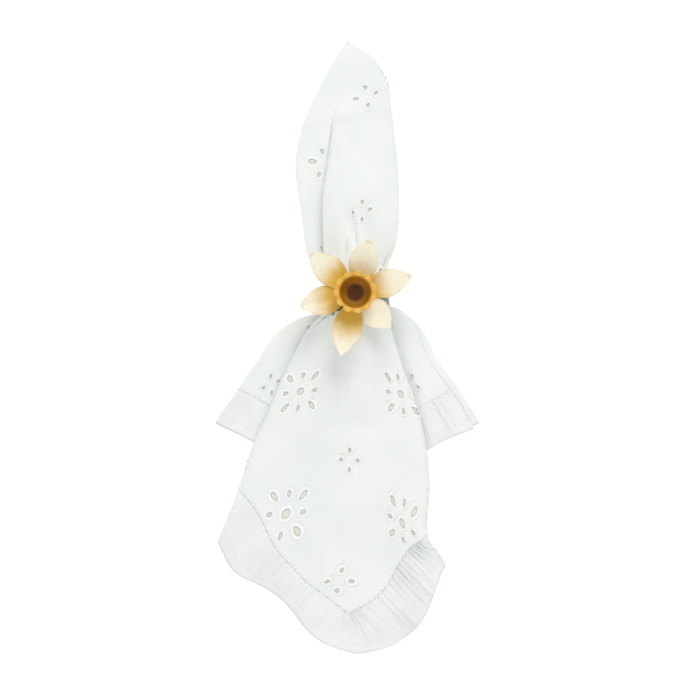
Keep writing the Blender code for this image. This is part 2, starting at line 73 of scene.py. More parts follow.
# A fold line of the stack runs from the napkin's middle, through the ring, to the hem.
# angle: degrees round the napkin's middle; rise: +1 or -1 where the next layer lies above or below
# nose: which way the turn of the cloth points, +1 right and -1 left
FoldLine = namedtuple("FoldLine", "name angle rise nose spire ring skirt seam hem")
MIDDLE_POINT = (0.2, 174.9, TABLE)
FOLD_LINES = (
    FoldLine(
        "left edge", 0.0, 0, 0,
        ((-15.3, 147.8, TABLE), (-21.8, 133.3, TABLE), (-28.3, 108.0, 1.3), (-24.8, 76.0, 2.4),
         (-20.5, 52.0, 4.4), (-13.5, 41.0, 6.4), (-7.0, 35.5, 7.0)),
        (-4.6, 29.6, 7.0),
        ((-4.6, 23.5, 6.6), (-11.5, 19.6, 3.8), (-23.4, 17.6, TABLE), (-38.4, 9.0, TABLE),
         (-50.0, -7.2, TABLE)),
        (-61.3, -23.7, TABLE),
        (-74.7, -43.5, TABLE),
    ),
    FoldLine(
        "left under fold", 20.0, 1, 1,
        ((-5.0, 145.4, TABLE), (-6.6, 131.0, 1.6), (-5.4, 112.0, 3.6), (-4.6, 90.0, 6.6), (-1.0, 48.0, 10.5)),
        (1.2, 30.5, 10.2),
        ((-1.0, 8.0, 4.4), (-5.5, -24.0, FIRST_FOLD)),
        (-8.5, -61.0, FIRST_FOLD),
        (-10.5, -87.0, FIRST_FOLD),
    ),
    FoldLine(
        "left lap", 30.0, 1, -1,
        ((-3.6, 144.8, TABLE), (-7.4, 130.0, 2.4), (-9.2, 113.0, 6.4), (-12.4, 88.0, 11.6),
         (-11.8, 52.0, 17.0), (-10.6, 36.0, 18.6)),
        (-9.8, 28.6, 18.8),
        ((-10.6, 21.5, 17.4), (-18.7, 13.0, 13.4), (-32.9, -11.3, 8.0), (-44.5, -37.1, SECOND_FOLD),
         (-52.6, -54.9, SECOND_FOLD)),
        (-60.5, -80.0, 5.4),
        (-71.5, -108.0, FIRST_FOLD),
    ),
    FoldLine(
        "middle", 45.0, 0, 0,
        ((10.5, 145.0, TABLE), (12.0, 116.0, 5.4), (11.5, 96.5, 11.5), (10.0, 68.0, 22.0), (8.0, 50.0, 29.0)),
        (5.0, 31.2, 33.2),
        ((4.6, 12.5, 29.0), (4.4, -10.0, 19.5), (4.0, -35.0, 12.5), (3.6, -60.0, 9.6), (3.2, -95.0, 8.0),
         (2.8, -122.0, 4.0)),
        (2.5, -148.0, 1.7),
        (5.0, -183.0, TABLE),
    ),
    FoldLine(
        "right lap", 57.0, -1, 1,
        ((15.6, 162.4, TABLE), (20.2, 157.0, 1.3), (24.2, 137.0, 3.0), (26.6, 117.0, 3.8), (28.4, 92.0, 8.0),
         (26.2, 58.0, 14.5), (20.2, 42.0, 17.6)),
        (19.0, 33.8, 18.4),
        ((19.2, 26.5, 18.0), (23.6, 11.0, 14.0), (31.0, -12.0, 8.6), (41.2, -41.8, SECOND_FOLD),
         (46.2, -75.1, SECOND_FOLD)),
        (46.7, -97.9, 4.8),
        (54.5, -123.0, FIRST_FOLD),
    ),
    FoldLine(
        "right under fold", 71.0, -1, -1,
        ((16.2, 163.0, TABLE), (20.4, 156.0, TABLE), (19.4, 140.0, TABLE), (16.7, 122.0, 1.4),
         (12.5, 100.0, 3.2), (7.5, 76.0, 6.6), (6.8, 50.0, 9.6)),
        (8.9, 32.0, 10.2),
        ((8.0, 8.0, 4.4), (6.5, -24.0, FIRST_FOLD)),
        (5.0, -61.0, FIRST_FOLD),
        (4.5, -86.0, FIRST_FOLD),
    ),
    FoldLine(
        "right edge", 90.0, 0, 0,
        ((16.6, 163.2, TABLE), (20.4, 157.0, TABLE), (12.8, 145.0, TABLE), (3.0, 129.0, TABLE),
         (-1.0, 104.0, TABLE), (7.0, 82.0, 1.4), (13.2, 56.0, 4.0), (14.0, 39.5, 6.6)),
        (13.2, 32.8, 7.0),
        ((13.6, 26.0, 6.6), (20.5, 24.0, 3.6), (29.0, 22.6, TABLE), (35.6, 16.6, TABLE), (47.0, -8.4, TABLE)),
        (58.7, -24.5, TABLE),
        (72.4, -46.5, TABLE),
    ),
)
# The right turn starts beside the right edge at the tip and works its way in: reach, degrees
RIGHT_TURN_ANGLES = ((0.0, 84.0), (25.0, 84.0), (33.0, 71.0), (41.0, 65.0), (60.0, 60.0), (80.0, 57.0))
# The two left folds start as one dart and draw apart: reach, degrees of the under fold and of the lap
LEFT_TURN_ANGLES = ((44.0, 24.4, 25.6), (60.0, 22.5, 27.5), (90.0, 20.0, 30.0))
UNDER_SHARE = 0.42
LEFT_FOLDS_START = (44.0, 26.0)
RIGHT_LAP_START = (25.0, 14.0)
RIGHT_UNDER_START = (66.0, 26.0)
BACK_SHIFT = 4.4
BACK_SHIFT_START = (172.0, 30.0)
BACK_SHIFT_ANGLES = (71.0, 19.0)
LAYER_STEP = 0.32  # the least rise from one ply to the next where they lie on the table


# Where the loose skirt is pulled out in plan: place, how far it is pulled, and over what distance
Pull = namedtuple("Pull", "x y right up spread")
PULLS = (
    Pull(-60.0, -116.0, -3.5, -7.0, 17.0),
    Pull(-20.0, -160.0, -1.5, -2.5, 16.0),
    Pull(24.0, -146.0, 7.5, -9.5, 24.0),
    Pull(46.0, -138.0, 2.5, -3.5, 16.0),
    Pull(-33.0, -112.0, -6.6, -7.2, 21.0),
    Pull(-17.0, -128.0, -3.2, -4.2, 13.0),
    Pull(-4.0, -140.0, -7.0, 1.0, 16.0),
    Pull(45.0, -98.0, -2.0, -8.0, 14.0),
)


def pulled(points):
    """Moves points by the skirt's pulls; everything over one spot moves together."""
    moved = points.copy()
    for pull in PULLS:
        square = (points[..., 0] - pull.x) ** 2 + (points[..., 1] - pull.y) ** 2
        share = np.exp(-square / pull.spread**2)
        moved[..., 0] += pull.right * share
        moved[..., 1] += pull.up * share
    return moved


def seam_reach(angle):
    """Distance from the napkin's middle to the panel's edge, at an angle in degrees."""
    return PANEL_HALF / np.cos(np.radians(np.minimum(angle, 90.0 - angle)))


def smooth_step(value, start, length):
    """0 before start, 1 after start + length, and an easy curve between."""
    t = np.clip((value - start) / length, 0.0, 1.0)
    return t * t * (3.0 - 2.0 * t)


def hermite(stations, values, at):
    """A smooth curve through values at uneven stations, carried on straight past both ends."""
    slopes = np.gradient(values, stations, axis=0)
    i = np.clip(np.searchsorted(stations, at) - 1, 0, len(stations) - 2)
    span = (stations[i + 1] - stations[i])[..., None]
    t = np.clip((at - stations[i])[..., None] / span, 0.0, 1.0)
    beyond = (at - np.clip(at, stations[0], stations[-1]))[..., None]
    end_slope = np.where(at[..., None] > stations[-1], slopes[-1], slopes[0])
    return (
        (2 * t**3 - 3 * t**2 + 1) * values[i]
        + (t**3 - 2 * t**2 + t) * span * slopes[i]
        + (3 * t**2 - 2 * t**3) * values[i + 1]
        + (t**3 - t**2) * span * slopes[i + 1]
        + beyond * end_slope
    )


def right_turn_angle(reach):
    reaches, angles = zip(*RIGHT_TURN_ANGLES)
    return np.interp(reach, reaches, angles)


class Route:
    """One fold line, with every point given its distance from the napkin's middle."""

    def __init__(self, line):
        self.line = line
        seam = float(seam_reach(line.angle))
        hem = seam + RUFFLE_WIDTH / math.cos(math.radians(min(line.angle, 90.0 - line.angle)))
        stretches = (
            (0.0, RING_REACH, (MIDDLE_POINT,) + line.spire + (line.ring,)),
            (RING_REACH, seam, (line.ring,) + line.skirt + (line.seam,)),
            (seam, hem, (line.seam, line.hem)),
        )
        stations, points = [0.0], [MIDDLE_POINT]
        for first, last, route in stretches:
            along = np.cumsum([math.dist(a, b) for a, b in zip(route, route[1:])])
            stations += list(first + along / along[-1] * (last - first))
            points += list(route[1:])
        self.stations = np.array(stations)
        self.points = np.array(points)

    def at(self, reach):
        return hermite(self.stations, self.points, reach)

    def inward(self, reach):
        """Unit vector in plan, square to the line, away from its nose."""
        ahead = (self.at(reach + 1.0) - self.at(reach - 1.0))[..., :2]
        ahead /= np.linalg.norm(ahead, axis=-1, keepdims=True)
        across = np.stack([ahead[..., 1], -ahead[..., 0], np.zeros_like(ahead[..., 0])], axis=-1)
        return across * self.line.nose

    def angle(self, reach):
        reaches, under_angles, lap_angles = zip(*LEFT_TURN_ANGLES)
        if self.line.name == "left under fold":
            return np.interp(reach, reaches, under_angles)
        if self.line.name == "left lap":
            return np.interp(reach, reaches, lap_angles)
        if self.line.name == "right lap":
            return right_turn_angle(reach)
        if self.line.name == "right under fold":
            lap = right_turn_angle(reach)
            return lap + UNDER_SHARE * (90.0 - lap)
        return np.full_like(reach, self.line.angle)

    def radius(self, reach):
        start = {
            "left under fold": LEFT_FOLDS_START,
            "left lap": LEFT_FOLDS_START,
            "right lap": RIGHT_LAP_START,
            "right under fold": RIGHT_UNDER_START,
        }.get(self.line.name)
        if start is None:
            return np.zeros_like(reach)
        return PLEAT_RADIUS * smooth_step(reach, *start)


ROUTES = [Route(line) for line in FOLD_LINES]


def turn_point(route, reach, offset):
    """A point on a pleat's turn, offset mm of cloth to the right of its fold line."""
    radius = np.maximum(route.radius(reach), 1e-6)
    swing = np.clip(offset / radius, -math.pi / 2, math.pi / 2)
    point = route.at(reach) + route.inward(reach) * (radius * (1.0 - np.cos(swing)))[..., None]
    point[..., 2] += route.line.rise * radius * np.sin(swing)
    return point


def lay(reach, angle):
    """Where the middle of the folded stack lies: reach in mm, angle in degrees, as arrays."""
    reach, angle = np.broadcast_arrays(np.asarray(reach, float), np.asarray(angle, float))
    arc = np.maximum(reach, 1.0)
    lines = [route.angle(reach) for route in ROUTES]
    halves = [np.degrees(route.radius(reach) * math.pi / 2 / arc) for route in ROUTES]
    result = np.zeros(reach.shape + (3,))

    for a in range(len(ROUTES) - 1):
        b = a + 1
        start, end = lines[a] + halves[a], lines[b] - halves[b]
        share = np.clip((angle - start) / np.maximum(end - start, 1e-6), 0.0, 1.0)[..., None]
        first = turn_point(ROUTES[a], reach, np.radians(halves[a]) * arc)
        last = turn_point(ROUTES[b], reach, -np.radians(halves[b]) * arc)
        inside = (angle >= lines[a]) & (angle <= lines[b])
        result = np.where(inside[..., None], first + (last - first) * share, result)

    # The panel between the laps is one curve through the middle line
    t0, t1, t2 = lines[2] + halves[2], lines[3], lines[4] - halves[4]
    p0 = turn_point(ROUTES[2], reach, np.radians(halves[2]) * arc)
    p1 = ROUTES[3].at(reach)
    p2 = turn_point(ROUTES[4], reach, -np.radians(halves[4]) * arc)
    t = np.clip(angle, t0, t2)
    curve = (
        p0 * ((t - t1) * (t - t2) / ((t0 - t1) * (t0 - t2)))[..., None]
        + p1 * ((t - t0) * (t - t2) / ((t1 - t0) * (t1 - t2)))[..., None]
        + p2 * ((t - t0) * (t - t1) / ((t2 - t0) * (t2 - t1)))[..., None]
    )
    inside = (angle >= lines[2]) & (angle <= lines[4])
    result = np.where(inside[..., None], curve, result)

    for k in (1, 2, 4, 5):
        offset = np.radians(angle - lines[k]) * arc
        turning = np.abs(angle - lines[k]) <= halves[k]
        result = np.where(turning[..., None], turn_point(ROUTES[k], reach, offset), result)
    return pulled(result)


# Soft humps and hollows pressed into the folded cloth, in plan.
# heading: degrees of the long way; length, width: half sizes; height: mm up; side: width past the ridge
Press = namedtuple("Press", "x y heading length width side height")
PRESSES = (
    Press(-3.0, 133.0, 10.0, 20.0, 5.0, 7.0, 2.6),
    Press(-2.5, 116.0, 90.0, 13.0, 5.0, 5.0, -4.2),
    Press(-5.5, 82.0, 96.0, 24.0, 5.0, 6.0, 3.0),
    Press(4.3, 68.0, 97.0, 13.0, 1.3, 4.0, -3.0),
    Press(9.0, 72.0, 90.0, 11.0, 5.0, 5.0, -3.6),
    Press(-0.8, 57.0, 90.0, 9.0, 2.2, 3.0, -3.0),
    Press(-19.0, 62.0, 80.0, 7.0, 2.0, 3.0, 1.0),
    Press(13.0, -14.0, 88.0, 24.0, 6.0, 8.0, 3.2),
    Press(7.0, -42.5, 0.0, 14.0, 4.0, 2.5, -2.8),
    Press(-2.5, -24.0, 90.0, 13.0, 4.0, 4.0, -2.4),
    Press(-2.9, -14.7, 90.0, 5.0, 3.0, 3.0, -1.0),
    Press(19.0, -98.0, 60.0, 12.0, 5.0, 4.0, -2.6),
    Press(-32.0, -60.0, 60.0, 22.0, 7.0, 9.0, 0.9),
    Press(20.0, -72.0, 100.0, 18.0, 6.0, 6.0, 0.8),
)
FREE_HEIGHT = 7.0  # over the table, at which a hollow is as deep as its row says


def pressed(points):
    """Adds the humps and hollows to points: everything over one spot moves together."""
    x, y, z = points[..., 0], points[..., 1], points[..., 2]
    # two faint ripples all over, so that no part of the cloth is dead flat
    height = 0.3 * np.sin(x / 7.3 + 1.7 * np.sin(y / 19.0)) * np.sin(y / 9.1 + np.sin(x / 11.0))
    height += 0.35 * np.sin(x / 13.7 + y / 17.0 + 2.0 * np.sin(y / 41.0))
    for press in PRESSES:
        turn = math.radians(press.heading)
        along = (x - press.x) * math.cos(turn) + (y - press.y) * math.sin(turn)
        off = (y - press.y) * math.cos(turn) - (x - press.x) * math.sin(turn)
        width = np.where(off > 0.0, press.side, press.width)
        height += press.height * np.exp(-((along / press.length) ** 2) - (off / width) ** 2)
    free = np.clip((z - TABLE) / FREE_HEIGHT, 0.0, 1.0)
    moved = points.copy()
    moved[..., 2] += np.maximum(height, 0.0) * np.clip(free * 3.0 + 0.7, 0.0, 1.0)
    moved[..., 2] += np.minimum(height, 0.0) * free
    return moved


def ply_points(ply, reach, angle, lift=0.0):
    """Points on one ply's middle; lift is how far they stand off its face, away from the stack."""
    reach, angle = np.broadcast_arrays(np.asarray(reach, float), np.asarray(angle, float))
    near = np.maximum(reach, 2.0)
    angle_step = np.degrees(0.25 / near)
    angle_in = np.clip(angle, angle_step, 90.0 - angle_step)
    along = pressed(lay(near + 0.4, angle_in)) - pressed(lay(near - 0.4, angle_in))
    across = pressed(lay(near, angle_in + angle_step)) - pressed(lay(near, angle_in - angle_step))
    normal = np.cross(along, across)
    normal /= np.maximum(np.linalg.norm(normal, axis=-1, keepdims=True), 1e-9)
    across /= np.maximum(np.linalg.norm(across, axis=-1, keepdims=True), 1e-9)
    middle = pressed(lay(reach, angle))
    if ply > 1:
        share = smooth_step(angle, *BACK_SHIFT_ANGLES) * smooth_step(reach, *BACK_SHIFT_START)
        middle = middle + across * (BACK_SHIFT * share)[..., None]
    side = 1.0 if ply < 2 else -1.0
    offset = PLY_OFFSETS[ply] * smooth_step(reach, 0.0, 6.0) + side * lift
    points = middle + normal * offset[..., None]
    lowest = (3 - ply) * LAYER_STEP + LAYER_STEP / 2
    points[..., 2] = np.maximum(points[..., 2], lowest)
    return points, normal, across


def flat_points(reach, angle):
    """Places on the flat quarter, from reach in mm and angle in degrees."""
    turn = np.radians(angle)
    return np.stack([reach * np.cos(turn), reach * np.sin(turn)], axis=-1)


def turn_round(first, last, outward, count):
    """Points round a half circle from the edge of one ply to the edge of the next."""
    centre, up = (first + last) / 2, (first - last) / 2
    radius = np.linalg.norm(up, axis=-1, keepdims=True)
    swings = [math.pi * i / (count + 1) for i in range(1, count + 1)]
    return [centre + up * math.cos(s) + outward * radius * math.sin(s) for s in swings]


def edge_wrap(ply_a, ply_b, reach, angle, count):
    """Points round the fold that joins two plies at an edge of the stack, between the two plies."""
    first, _, across = ply_points(ply_a, reach, angle)
    last = ply_points(ply_b, reach, angle)[0]
    return turn_round(first, last, across * (1.0 if angle > 45.0 else -1.0), count)


def fold_columns(reach, cuts, turn_cuts):
    """Angles of the mesh's columns at one reach: close together on the turns, wider on the flats."""
    half = np.degrees((PLEAT_RADIUS * math.pi / 2 + 0.4) / max(reach, 60.0))
    columns = []
    place = np.array([float(reach)])
    for k, route in enumerate(ROUTES):
        here = float(route.angle(place)[0])
        turn = half if route.line.rise else 0.0
        columns += list(np.linspace(here - turn, here + turn, turn_cuts)) if turn else [here]
        if k < len(cuts):
            following = ROUTES[k + 1]
            end = float(following.angle(place)[0]) - (half if following.line.rise else 0.0)
            columns += list(np.linspace(here + turn, end, cuts[k] + 1)[1:-1])
    return np.sort(np.array(columns))


# Rows of the panel's mesh: straight ones out to SQUARE_FROM, then eased out to the square edge.
# The last few carry the seam's two narrow ridges.
SQUARE_FROM = 196.0
STRAIGHT_ROWS = np.concatenate([np.arange(0.0, 30.0, 2.2), np.arange(30.0, SQUARE_FROM, 2.6)])
# mm in from the edge, lift
SEAM_ROWS = ((2.6, 0.0), (2.1, 0.3), (1.5, 0.42), (1.0, 0.08), (0.55, 0.3), (0.0, 0.0))
SQUARE_SHARES = np.linspace(0.0, 1.0, 18)


def panel_rows(cuts, turn_cuts):
    """Reach, angle and lift of every point of one quarter, row by row."""
    rows = []
    for reach in STRAIGHT_ROWS:
        angles = fold_columns(reach, cuts, turn_cuts)
        rows.append((np.full_like(angles, reach), angles, np.zeros_like(angles)))
    for share in SQUARE_SHARES:
        angles = fold_columns(SQUARE_FROM + share * 40.0, cuts, turn_cuts)
        edge = seam_reach(angles) * (1.0 - SEAM_ROWS[0][0] / PANEL_HALF)
        rows.append((SQUARE_FROM + share * (edge - SQUARE_FROM), angles, np.zeros_like(angles)))
    for inset, lift in SEAM_ROWS[1:]:
        reach = seam_reach(angles) * (1.0 - inset / PANEL_HALF)
        rows.append((reach, angles, np.full_like(angles, lift)))
    return [np.array(part) for part in zip(*rows)]


# The eyelets are embroidered in rows that run cornerwise over the cloth, LATTICE mm apart along a row:
# large motifs of nine holes, then small ones of four.  Each hole: distance and direction from the
# motif's centre, length, width and how much wider its outer end is.
Hole = namedtuple("Hole", "distance direction length width flare")
LARGE_MOTIF = (
    (Hole(0.0, 0.0, 5.0, 4.6, 0.0),)
    + tuple(Hole(9.5, turn, 3.3, 2.3, 0.1) for turn in (0.0, 90.0, 180.0, 270.0))
    + tuple(Hole(11.9, turn, 6.0, 2.9, 0.18) for turn in (45.0, 135.0, 225.0, 315.0))
)
SMALL_MOTIF = tuple(Hole(5.4, turn, 2.4, 1.9, 0.0) for turn in (0.0, 90.0, 180.0, 270.0))
LATTICE = 69.0
# The rows of motifs, along the cloth from the napkin's middle.  An even repeat would set them half of
# LATTICE apart.  Here each is placed one by one, and the fourth is set about 12 mm further along than its
# turn, to lie under the ring.  shift: mm sideways; spread: of the row against LATTICE
MotifRow = namedtuple("MotifRow", "motif along start shift spread")
MOTIF_ROWS = (
    MotifRow(SMALL_MOTIF, 33.0, 0.0, 0.6, 1.0),
    MotifRow(LARGE_MOTIF, 64.5, 0.5, 0.5, 1.0),
    MotifRow(SMALL_MOTIF, 100.0, 0.0, -2.6, 1.0),
    MotifRow(LARGE_MOTIF, 146.0, 0.5, -2.0, 1.0),
    MotifRow(SMALL_MOTIF, 167.5, 0.0, -2.7, 1.0),
    MotifRow(LARGE_MOTIF, 202.5, 0.5, -1.7, 1.05),
    MotifRow(SMALL_MOTIF, 242.0, 0.0, -2.5, 1.0),
    MotifRow(LARGE_MOTIF, 269.0, 0.5, -1.4, 1.09),
    MotifRow(SMALL_MOTIF, 306.0, 0.0, -3.8, 1.0),
)
SEAM_CLEAR = 1.6  # mm of plain cloth kept inside the seam
HOLE_POINTS = 18
HOLE_CLEAR = 0.7  # mm round a hole without other points of the mesh
HOLE_NEAR = 6.0  # only points this close to a hole's middle are tested
COARSE_REACHES = (40.0, 84.0)  # up to which every fourth, then every second, column is enough
MERGE_WITHIN = 1e-5
SLIVER_AREA = 1e-4


def eyelet_holes():
    """Every hole of one quarter: its outline on the flat cloth, and the same outline 1 mm larger."""
    holes = []
    for row in MOTIF_ROWS:
        for i in range(-4, 5):
            across = (i + row.start) * LATTICE * row.spread + row.shift
            for hole in row.motif:
                turn = math.radians(hole.direction)
                outwards = Vector((math.cos(turn), math.sin(turn)))
                centre = Vector((across, row.along)) + hole.distance * outwards
                outlines = []
                for grow in (0.0, 1.0):
                    outline = []
                    for k in range(HOLE_POINTS):
                        t = 2 * math.pi * k / HOLE_POINTS
                        u = (hole.length / 2 + grow) * math.cos(t)
                        v = (hole.width / 2 + grow) * math.sin(t) * (1.0 + hole.flare * math.cos(t))
                        p = centre + Vector((u * math.cos(turn) - v * math.sin(turn),
                                             u * math.sin(turn) + v * math.cos(turn)))
                        # from the cornerwise lattice to the quarter's own sides
                        outline.append(((p.y - p.x) / math.sqrt(2.0), (p.y + p.x) / math.sqrt(2.0)))
                    outlines.append(np.array(outline[::-1]))
                if outlines[1].min() > 2.5 and outlines[1].max() < PANEL_HALF - SEAM_CLEAR:
                    holes.append(outlines)
    return holes


HOLES = eyelet_holes()


def inside_outline(points, outline, grow):
    """Which points lie inside a convex outline, or within grow mm of it."""
    inside = np.ones(len(points), bool)
    for a, b in zip(outline, np.roll(outline, -1, axis=0)):
        edge = b - a
        off = (edge[0] * (points[:, 1] - a[1]) - edge[1] * (points[:, 0] - a[0])) / np.hypot(*edge)
        inside &= off > -grow
    return inside


def pierced_quarter(cuts, turn_cuts):
    """Flat points, lifts and triangles of a quarter with its holes left out."""
    reach, angle, lift = panel_rows(cuts, turn_cuts)
    keep = np.ones(reach.shape, bool)
    number = np.arange(reach.shape[1])
    for row in range(len(reach)):
        stride = 2 ** sum(reach[row].max() < limit for limit in COARSE_REACHES)
        keep[row] = (number % stride == 0) | (number == number[-1])
        if reach[row].max() == 0.0:
            keep[row] = number == 0
    flat = flat_points(reach, angle)[keep]
    lift = lift[keep]
    clear = np.ones(len(flat), bool)
    for outline, _ in HOLES:
        close = np.abs(flat - outline.mean(axis=0)).max(axis=1) < HOLE_NEAR
        clear[close] &= ~inside_outline(flat[close], outline, HOLE_CLEAR)
    flat, lift = flat[clear], lift[clear]
    coords = [Vector(p) for p in flat.tolist()]
    edges = []
    for outline, _ in HOLES:
        start = len(coords)
        coords += [Vector(p) for p in outline.tolist()]
        edges += [(start + k, start + (k + 1) % HOLE_POINTS) for k in range(HOLE_POINTS)]
    verts, _, faces, origins, _, _ = delaunay_2d_cdt(coords, edges, [], 0, MERGE_WITHIN)
    points = np.array([tuple(v) for v in verts])
    lifts = np.array([lift[o[0]] if o and o[0] < len(lift) else 0.0 for o in origins])
    faces = np.array([tuple(f) for f in faces])
    centres = points[faces].mean(axis=1)
    a, b, c = points[faces[:, 0]], points[faces[:, 1]], points[faces[:, 2]]
    area = np.abs((b - a)[:, 0] * (c - a)[:, 1] - (b - a)[:, 1] * (c - a)[:, 0]) / 2
    solid = area > SLIVER_AREA
    for outline, _ in HOLES:
        close = np.abs(centres - outline.mean(axis=0)).max(axis=1) < HOLE_NEAR
        solid[close] &= ~inside_outline(centres[close], outline, 0.0)
    return points, lifts, faces[solid]


QUARTER_SIGNS = ((1, 1), (-1, 1), (-1, -1), (1, -1))  # of the flat napkin's x and y, for plies from the top
# Only cloth seen through a hole gets painted shade, darker and warmer, on the inner plies: from which reach,
# and up to which angle on each inner ply
SHADE_REACH = (10.0, 6.0)
SHADE_ENDS = {1: (64.0, 6.0), 2: (58.0, 8.0)}
WELD = 0.004 * MM


class SheetMesh:
    """Gathers points, flat places and faces of one sheet of cloth, then makes its object."""

    def __init__(self):
        self.points, self.flats, self.shades, self.faces, self.count = [], [], [], [], 0

    def add(self, points, flats, shade, faces):
        self.points.append(points.reshape(-1, 3))
        self.flats.append(flats.reshape(-1, 2))
        self.shades.append(np.full(len(self.points[-1]), shade) if np.isscalar(shade) else shade.reshape(-1))
        self.faces += [tuple(int(i) + self.count for i in face) for face in faces]
        self.count += len(self.points[-1])

    def add_grid(self, points, flats, shade):
        rows, columns = points.shape[:2]
        faces = []
        for i in range(rows - 1):
            for j in range(columns - 1):
                a = i * columns + j
                faces.append((a, a + 1, a + columns + 1, a + columns))
        self.add(points, flats, shade, faces)

    def finish(self, name, flat_size, thickness=0.0):
        """Makes the object; without a thickness the gathered faces are closed already."""
        points = np.concatenate(self.points) * MM
        flats = np.concatenate(self.flats)
        shades = np.concatenate(self.shades)
        data = bpy.data.meshes.new(name)
        data.from_pydata(points.tolist(), [], self.faces)
        data.validate()
        corner_points = np.empty(len(data.loops), np.int32)
        data.loops.foreach_get("vertex_index", corner_points)
        layer = data.uv_layers.new(name="flat cloth")
        layer.data.foreach_set("uv", (flats[corner_points] / flat_size + 0.5).astype(np.float32).ravel())
        shade = data.attributes.new("shade", "FLOAT", "POINT")
        shade.data.foreach_set("value", shades.astype(np.float32))
        made = bpy.data.objects.new(name, data)
        bpy.context.scene.collection.objects.link(made)
        mesh = bmesh.new()
        mesh.from_mesh(data)
        bmesh.ops.remove_doubles(mesh, verts=mesh.verts, dist=WELD)
        bmesh.ops.recalc_face_normals(mesh, faces=mesh.faces)
        mesh.to_mesh(data)
        mesh.free()
        data.shade_smooth()
        if not thickness:
            return made
        select_only(made)
        solidify = made.modifiers.new("thickness", "SOLIDIFY")
        solidify.thickness = thickness
        solidify.offset = 0.0
        bpy.ops.object.modifier_apply(modifier=solidify.name)
        return made


def select_only(*things):
    """Leaves just these objects selected, the last of them active."""
    bpy.ops.object.select_all(action="DESELECT")
    for thing in things:
        thing.select_set(True)
        bpy.context.view_layer.objects.active = thing


def polar(points):
    """Reach in mm and angle in degrees of flat places on the quarter."""
    return np.hypot(points[..., 0], points[..., 1]), np.degrees(np.arctan2(points[..., 1], points[..., 0]))


TOP_CUTS = (28, 14, 36, 30, 20, 28)
BOTTOM_CUTS = (14, 8, 16, 14, 10, 14)
INNER_CUTS = (8, 6, 12, 10, 6, 8)

panel_mesh = SheetMesh()
for ply, cuts, turn_cuts in ((0, TOP_CUTS, 9), (3, BOTTOM_CUTS, 7)):
    flat, lifts, faces = pierced_quarter(cuts, turn_cuts)
    reach, angle = polar(flat)
    points = ply_points(ply, reach, angle, lifts)[0]
    panel_mesh.add(points, flat * QUARTER_SIGNS[ply], 0.0, faces)
for ply in (1, 2):
    reach, angle, lift = panel_rows(INNER_CUTS, 5)
    flat = flat_points(reach, angle)
    # how much painted shade each point of an inner ply gets
    shade = smooth_step(reach, *SHADE_REACH) * (1.0 - smooth_step(angle, *SHADE_ENDS[ply]))
    panel_mesh.add_grid(ply_points(ply, reach, angle, -0.3 * lift)[0], flat * QUARTER_SIGNS[ply], shade)

edge_reach = np.concatenate([
    STRAIGHT_ROWS,
    SQUARE_FROM + SQUARE_SHARES * (PANEL_HALF - SEAM_ROWS[0][0] - SQUARE_FROM),
    [PANEL_HALF - inset for inset, _ in SEAM_ROWS[1:]],
])
edge_lift = np.array([0.0] * (len(edge_reach) - len(SEAM_ROWS) + 1) + [lift for _, lift in SEAM_ROWS[1:]])
# the two plies that are joined, the angle of the edge they are joined at, points round the turn
WRAPS = ((0, 3, 0.0, 7), (1, 2, 0.0, 3), (0, 1, 90.0, 5), (2, 3, 90.0, 5))
for ply_a, ply_b, angle, count in WRAPS:
    lift_a = edge_lift * (1.0 if ply_a in (0, 3) else -0.3)
    lift_b = edge_lift * (1.0 if ply_b in (0, 3) else -0.3)
    first = ply_points(ply_a, edge_reach, angle, lift_a)[0]
    last = ply_points(ply_b, edge_reach, angle, lift_b)[0]
    strips = [first] + edge_wrap(ply_a, ply_b, edge_reach, angle, count) + [last]
    flat = flat_points(edge_reach, np.full_like(edge_reach, angle))
    wrap = np.stack(strips, axis=1)
    flats = np.repeat((flat * QUARTER_SIGNS[ply_a])[:, None], wrap.shape[1], axis=1)
    panel_mesh.add_grid(wrap, flats, 0.0)
napkin_panel = panel_mesh.finish("eyelet_panel", 2 * PANEL_HALF, CLOTH_THICK * MM)


class Socket:
    """An output of a material's nodes, on which plain arithmetic makes more nodes."""

    def __init__(self, finish, socket):
        self.finish, self.socket = finish, socket

    def math(self, operation, *values):
        return self.finish.node("ShaderNodeMath", {"operation": operation}, dict(enumerate(values)))

    def __add__(self, other):
        return self.math("ADD", self, other)

    def __mul__(self, other):
        return self.math("MULTIPLY", self, other)

    def __sub__(self, other):
        return self.math("SUBTRACT", self, other)

    def __rsub__(self, other):
        return self.math("SUBTRACT", other, self)

    def __truediv__(self, other):
        return self.math("DIVIDE", self, other)

    def __pow__(self, other):
        return self.math("POWER", self, other)

    __radd__ = __add__
    __rmul__ = __mul__

    def sin(self):
        return self.math("SINE", self)

    def size(self):
        return self.math("ABSOLUTE", self)

    def over(self, start, end):
        """0 at start, 1 at end, eased between and held past them."""
        inputs = {"Value": self, "From Min": start, "From Max": end}
        return self.finish.node("ShaderNodeMapRange", {"interpolation_type": "SMOOTHSTEP"}, inputs)

    def mix(self, low, high):
        """The colour low where this is 0, and high where it is 1."""
        inputs = {0: self, 6: low, 7: high}
        return self.finish.node("ShaderNodeMix", {"data_type": "RGBA"}, inputs, output=2)


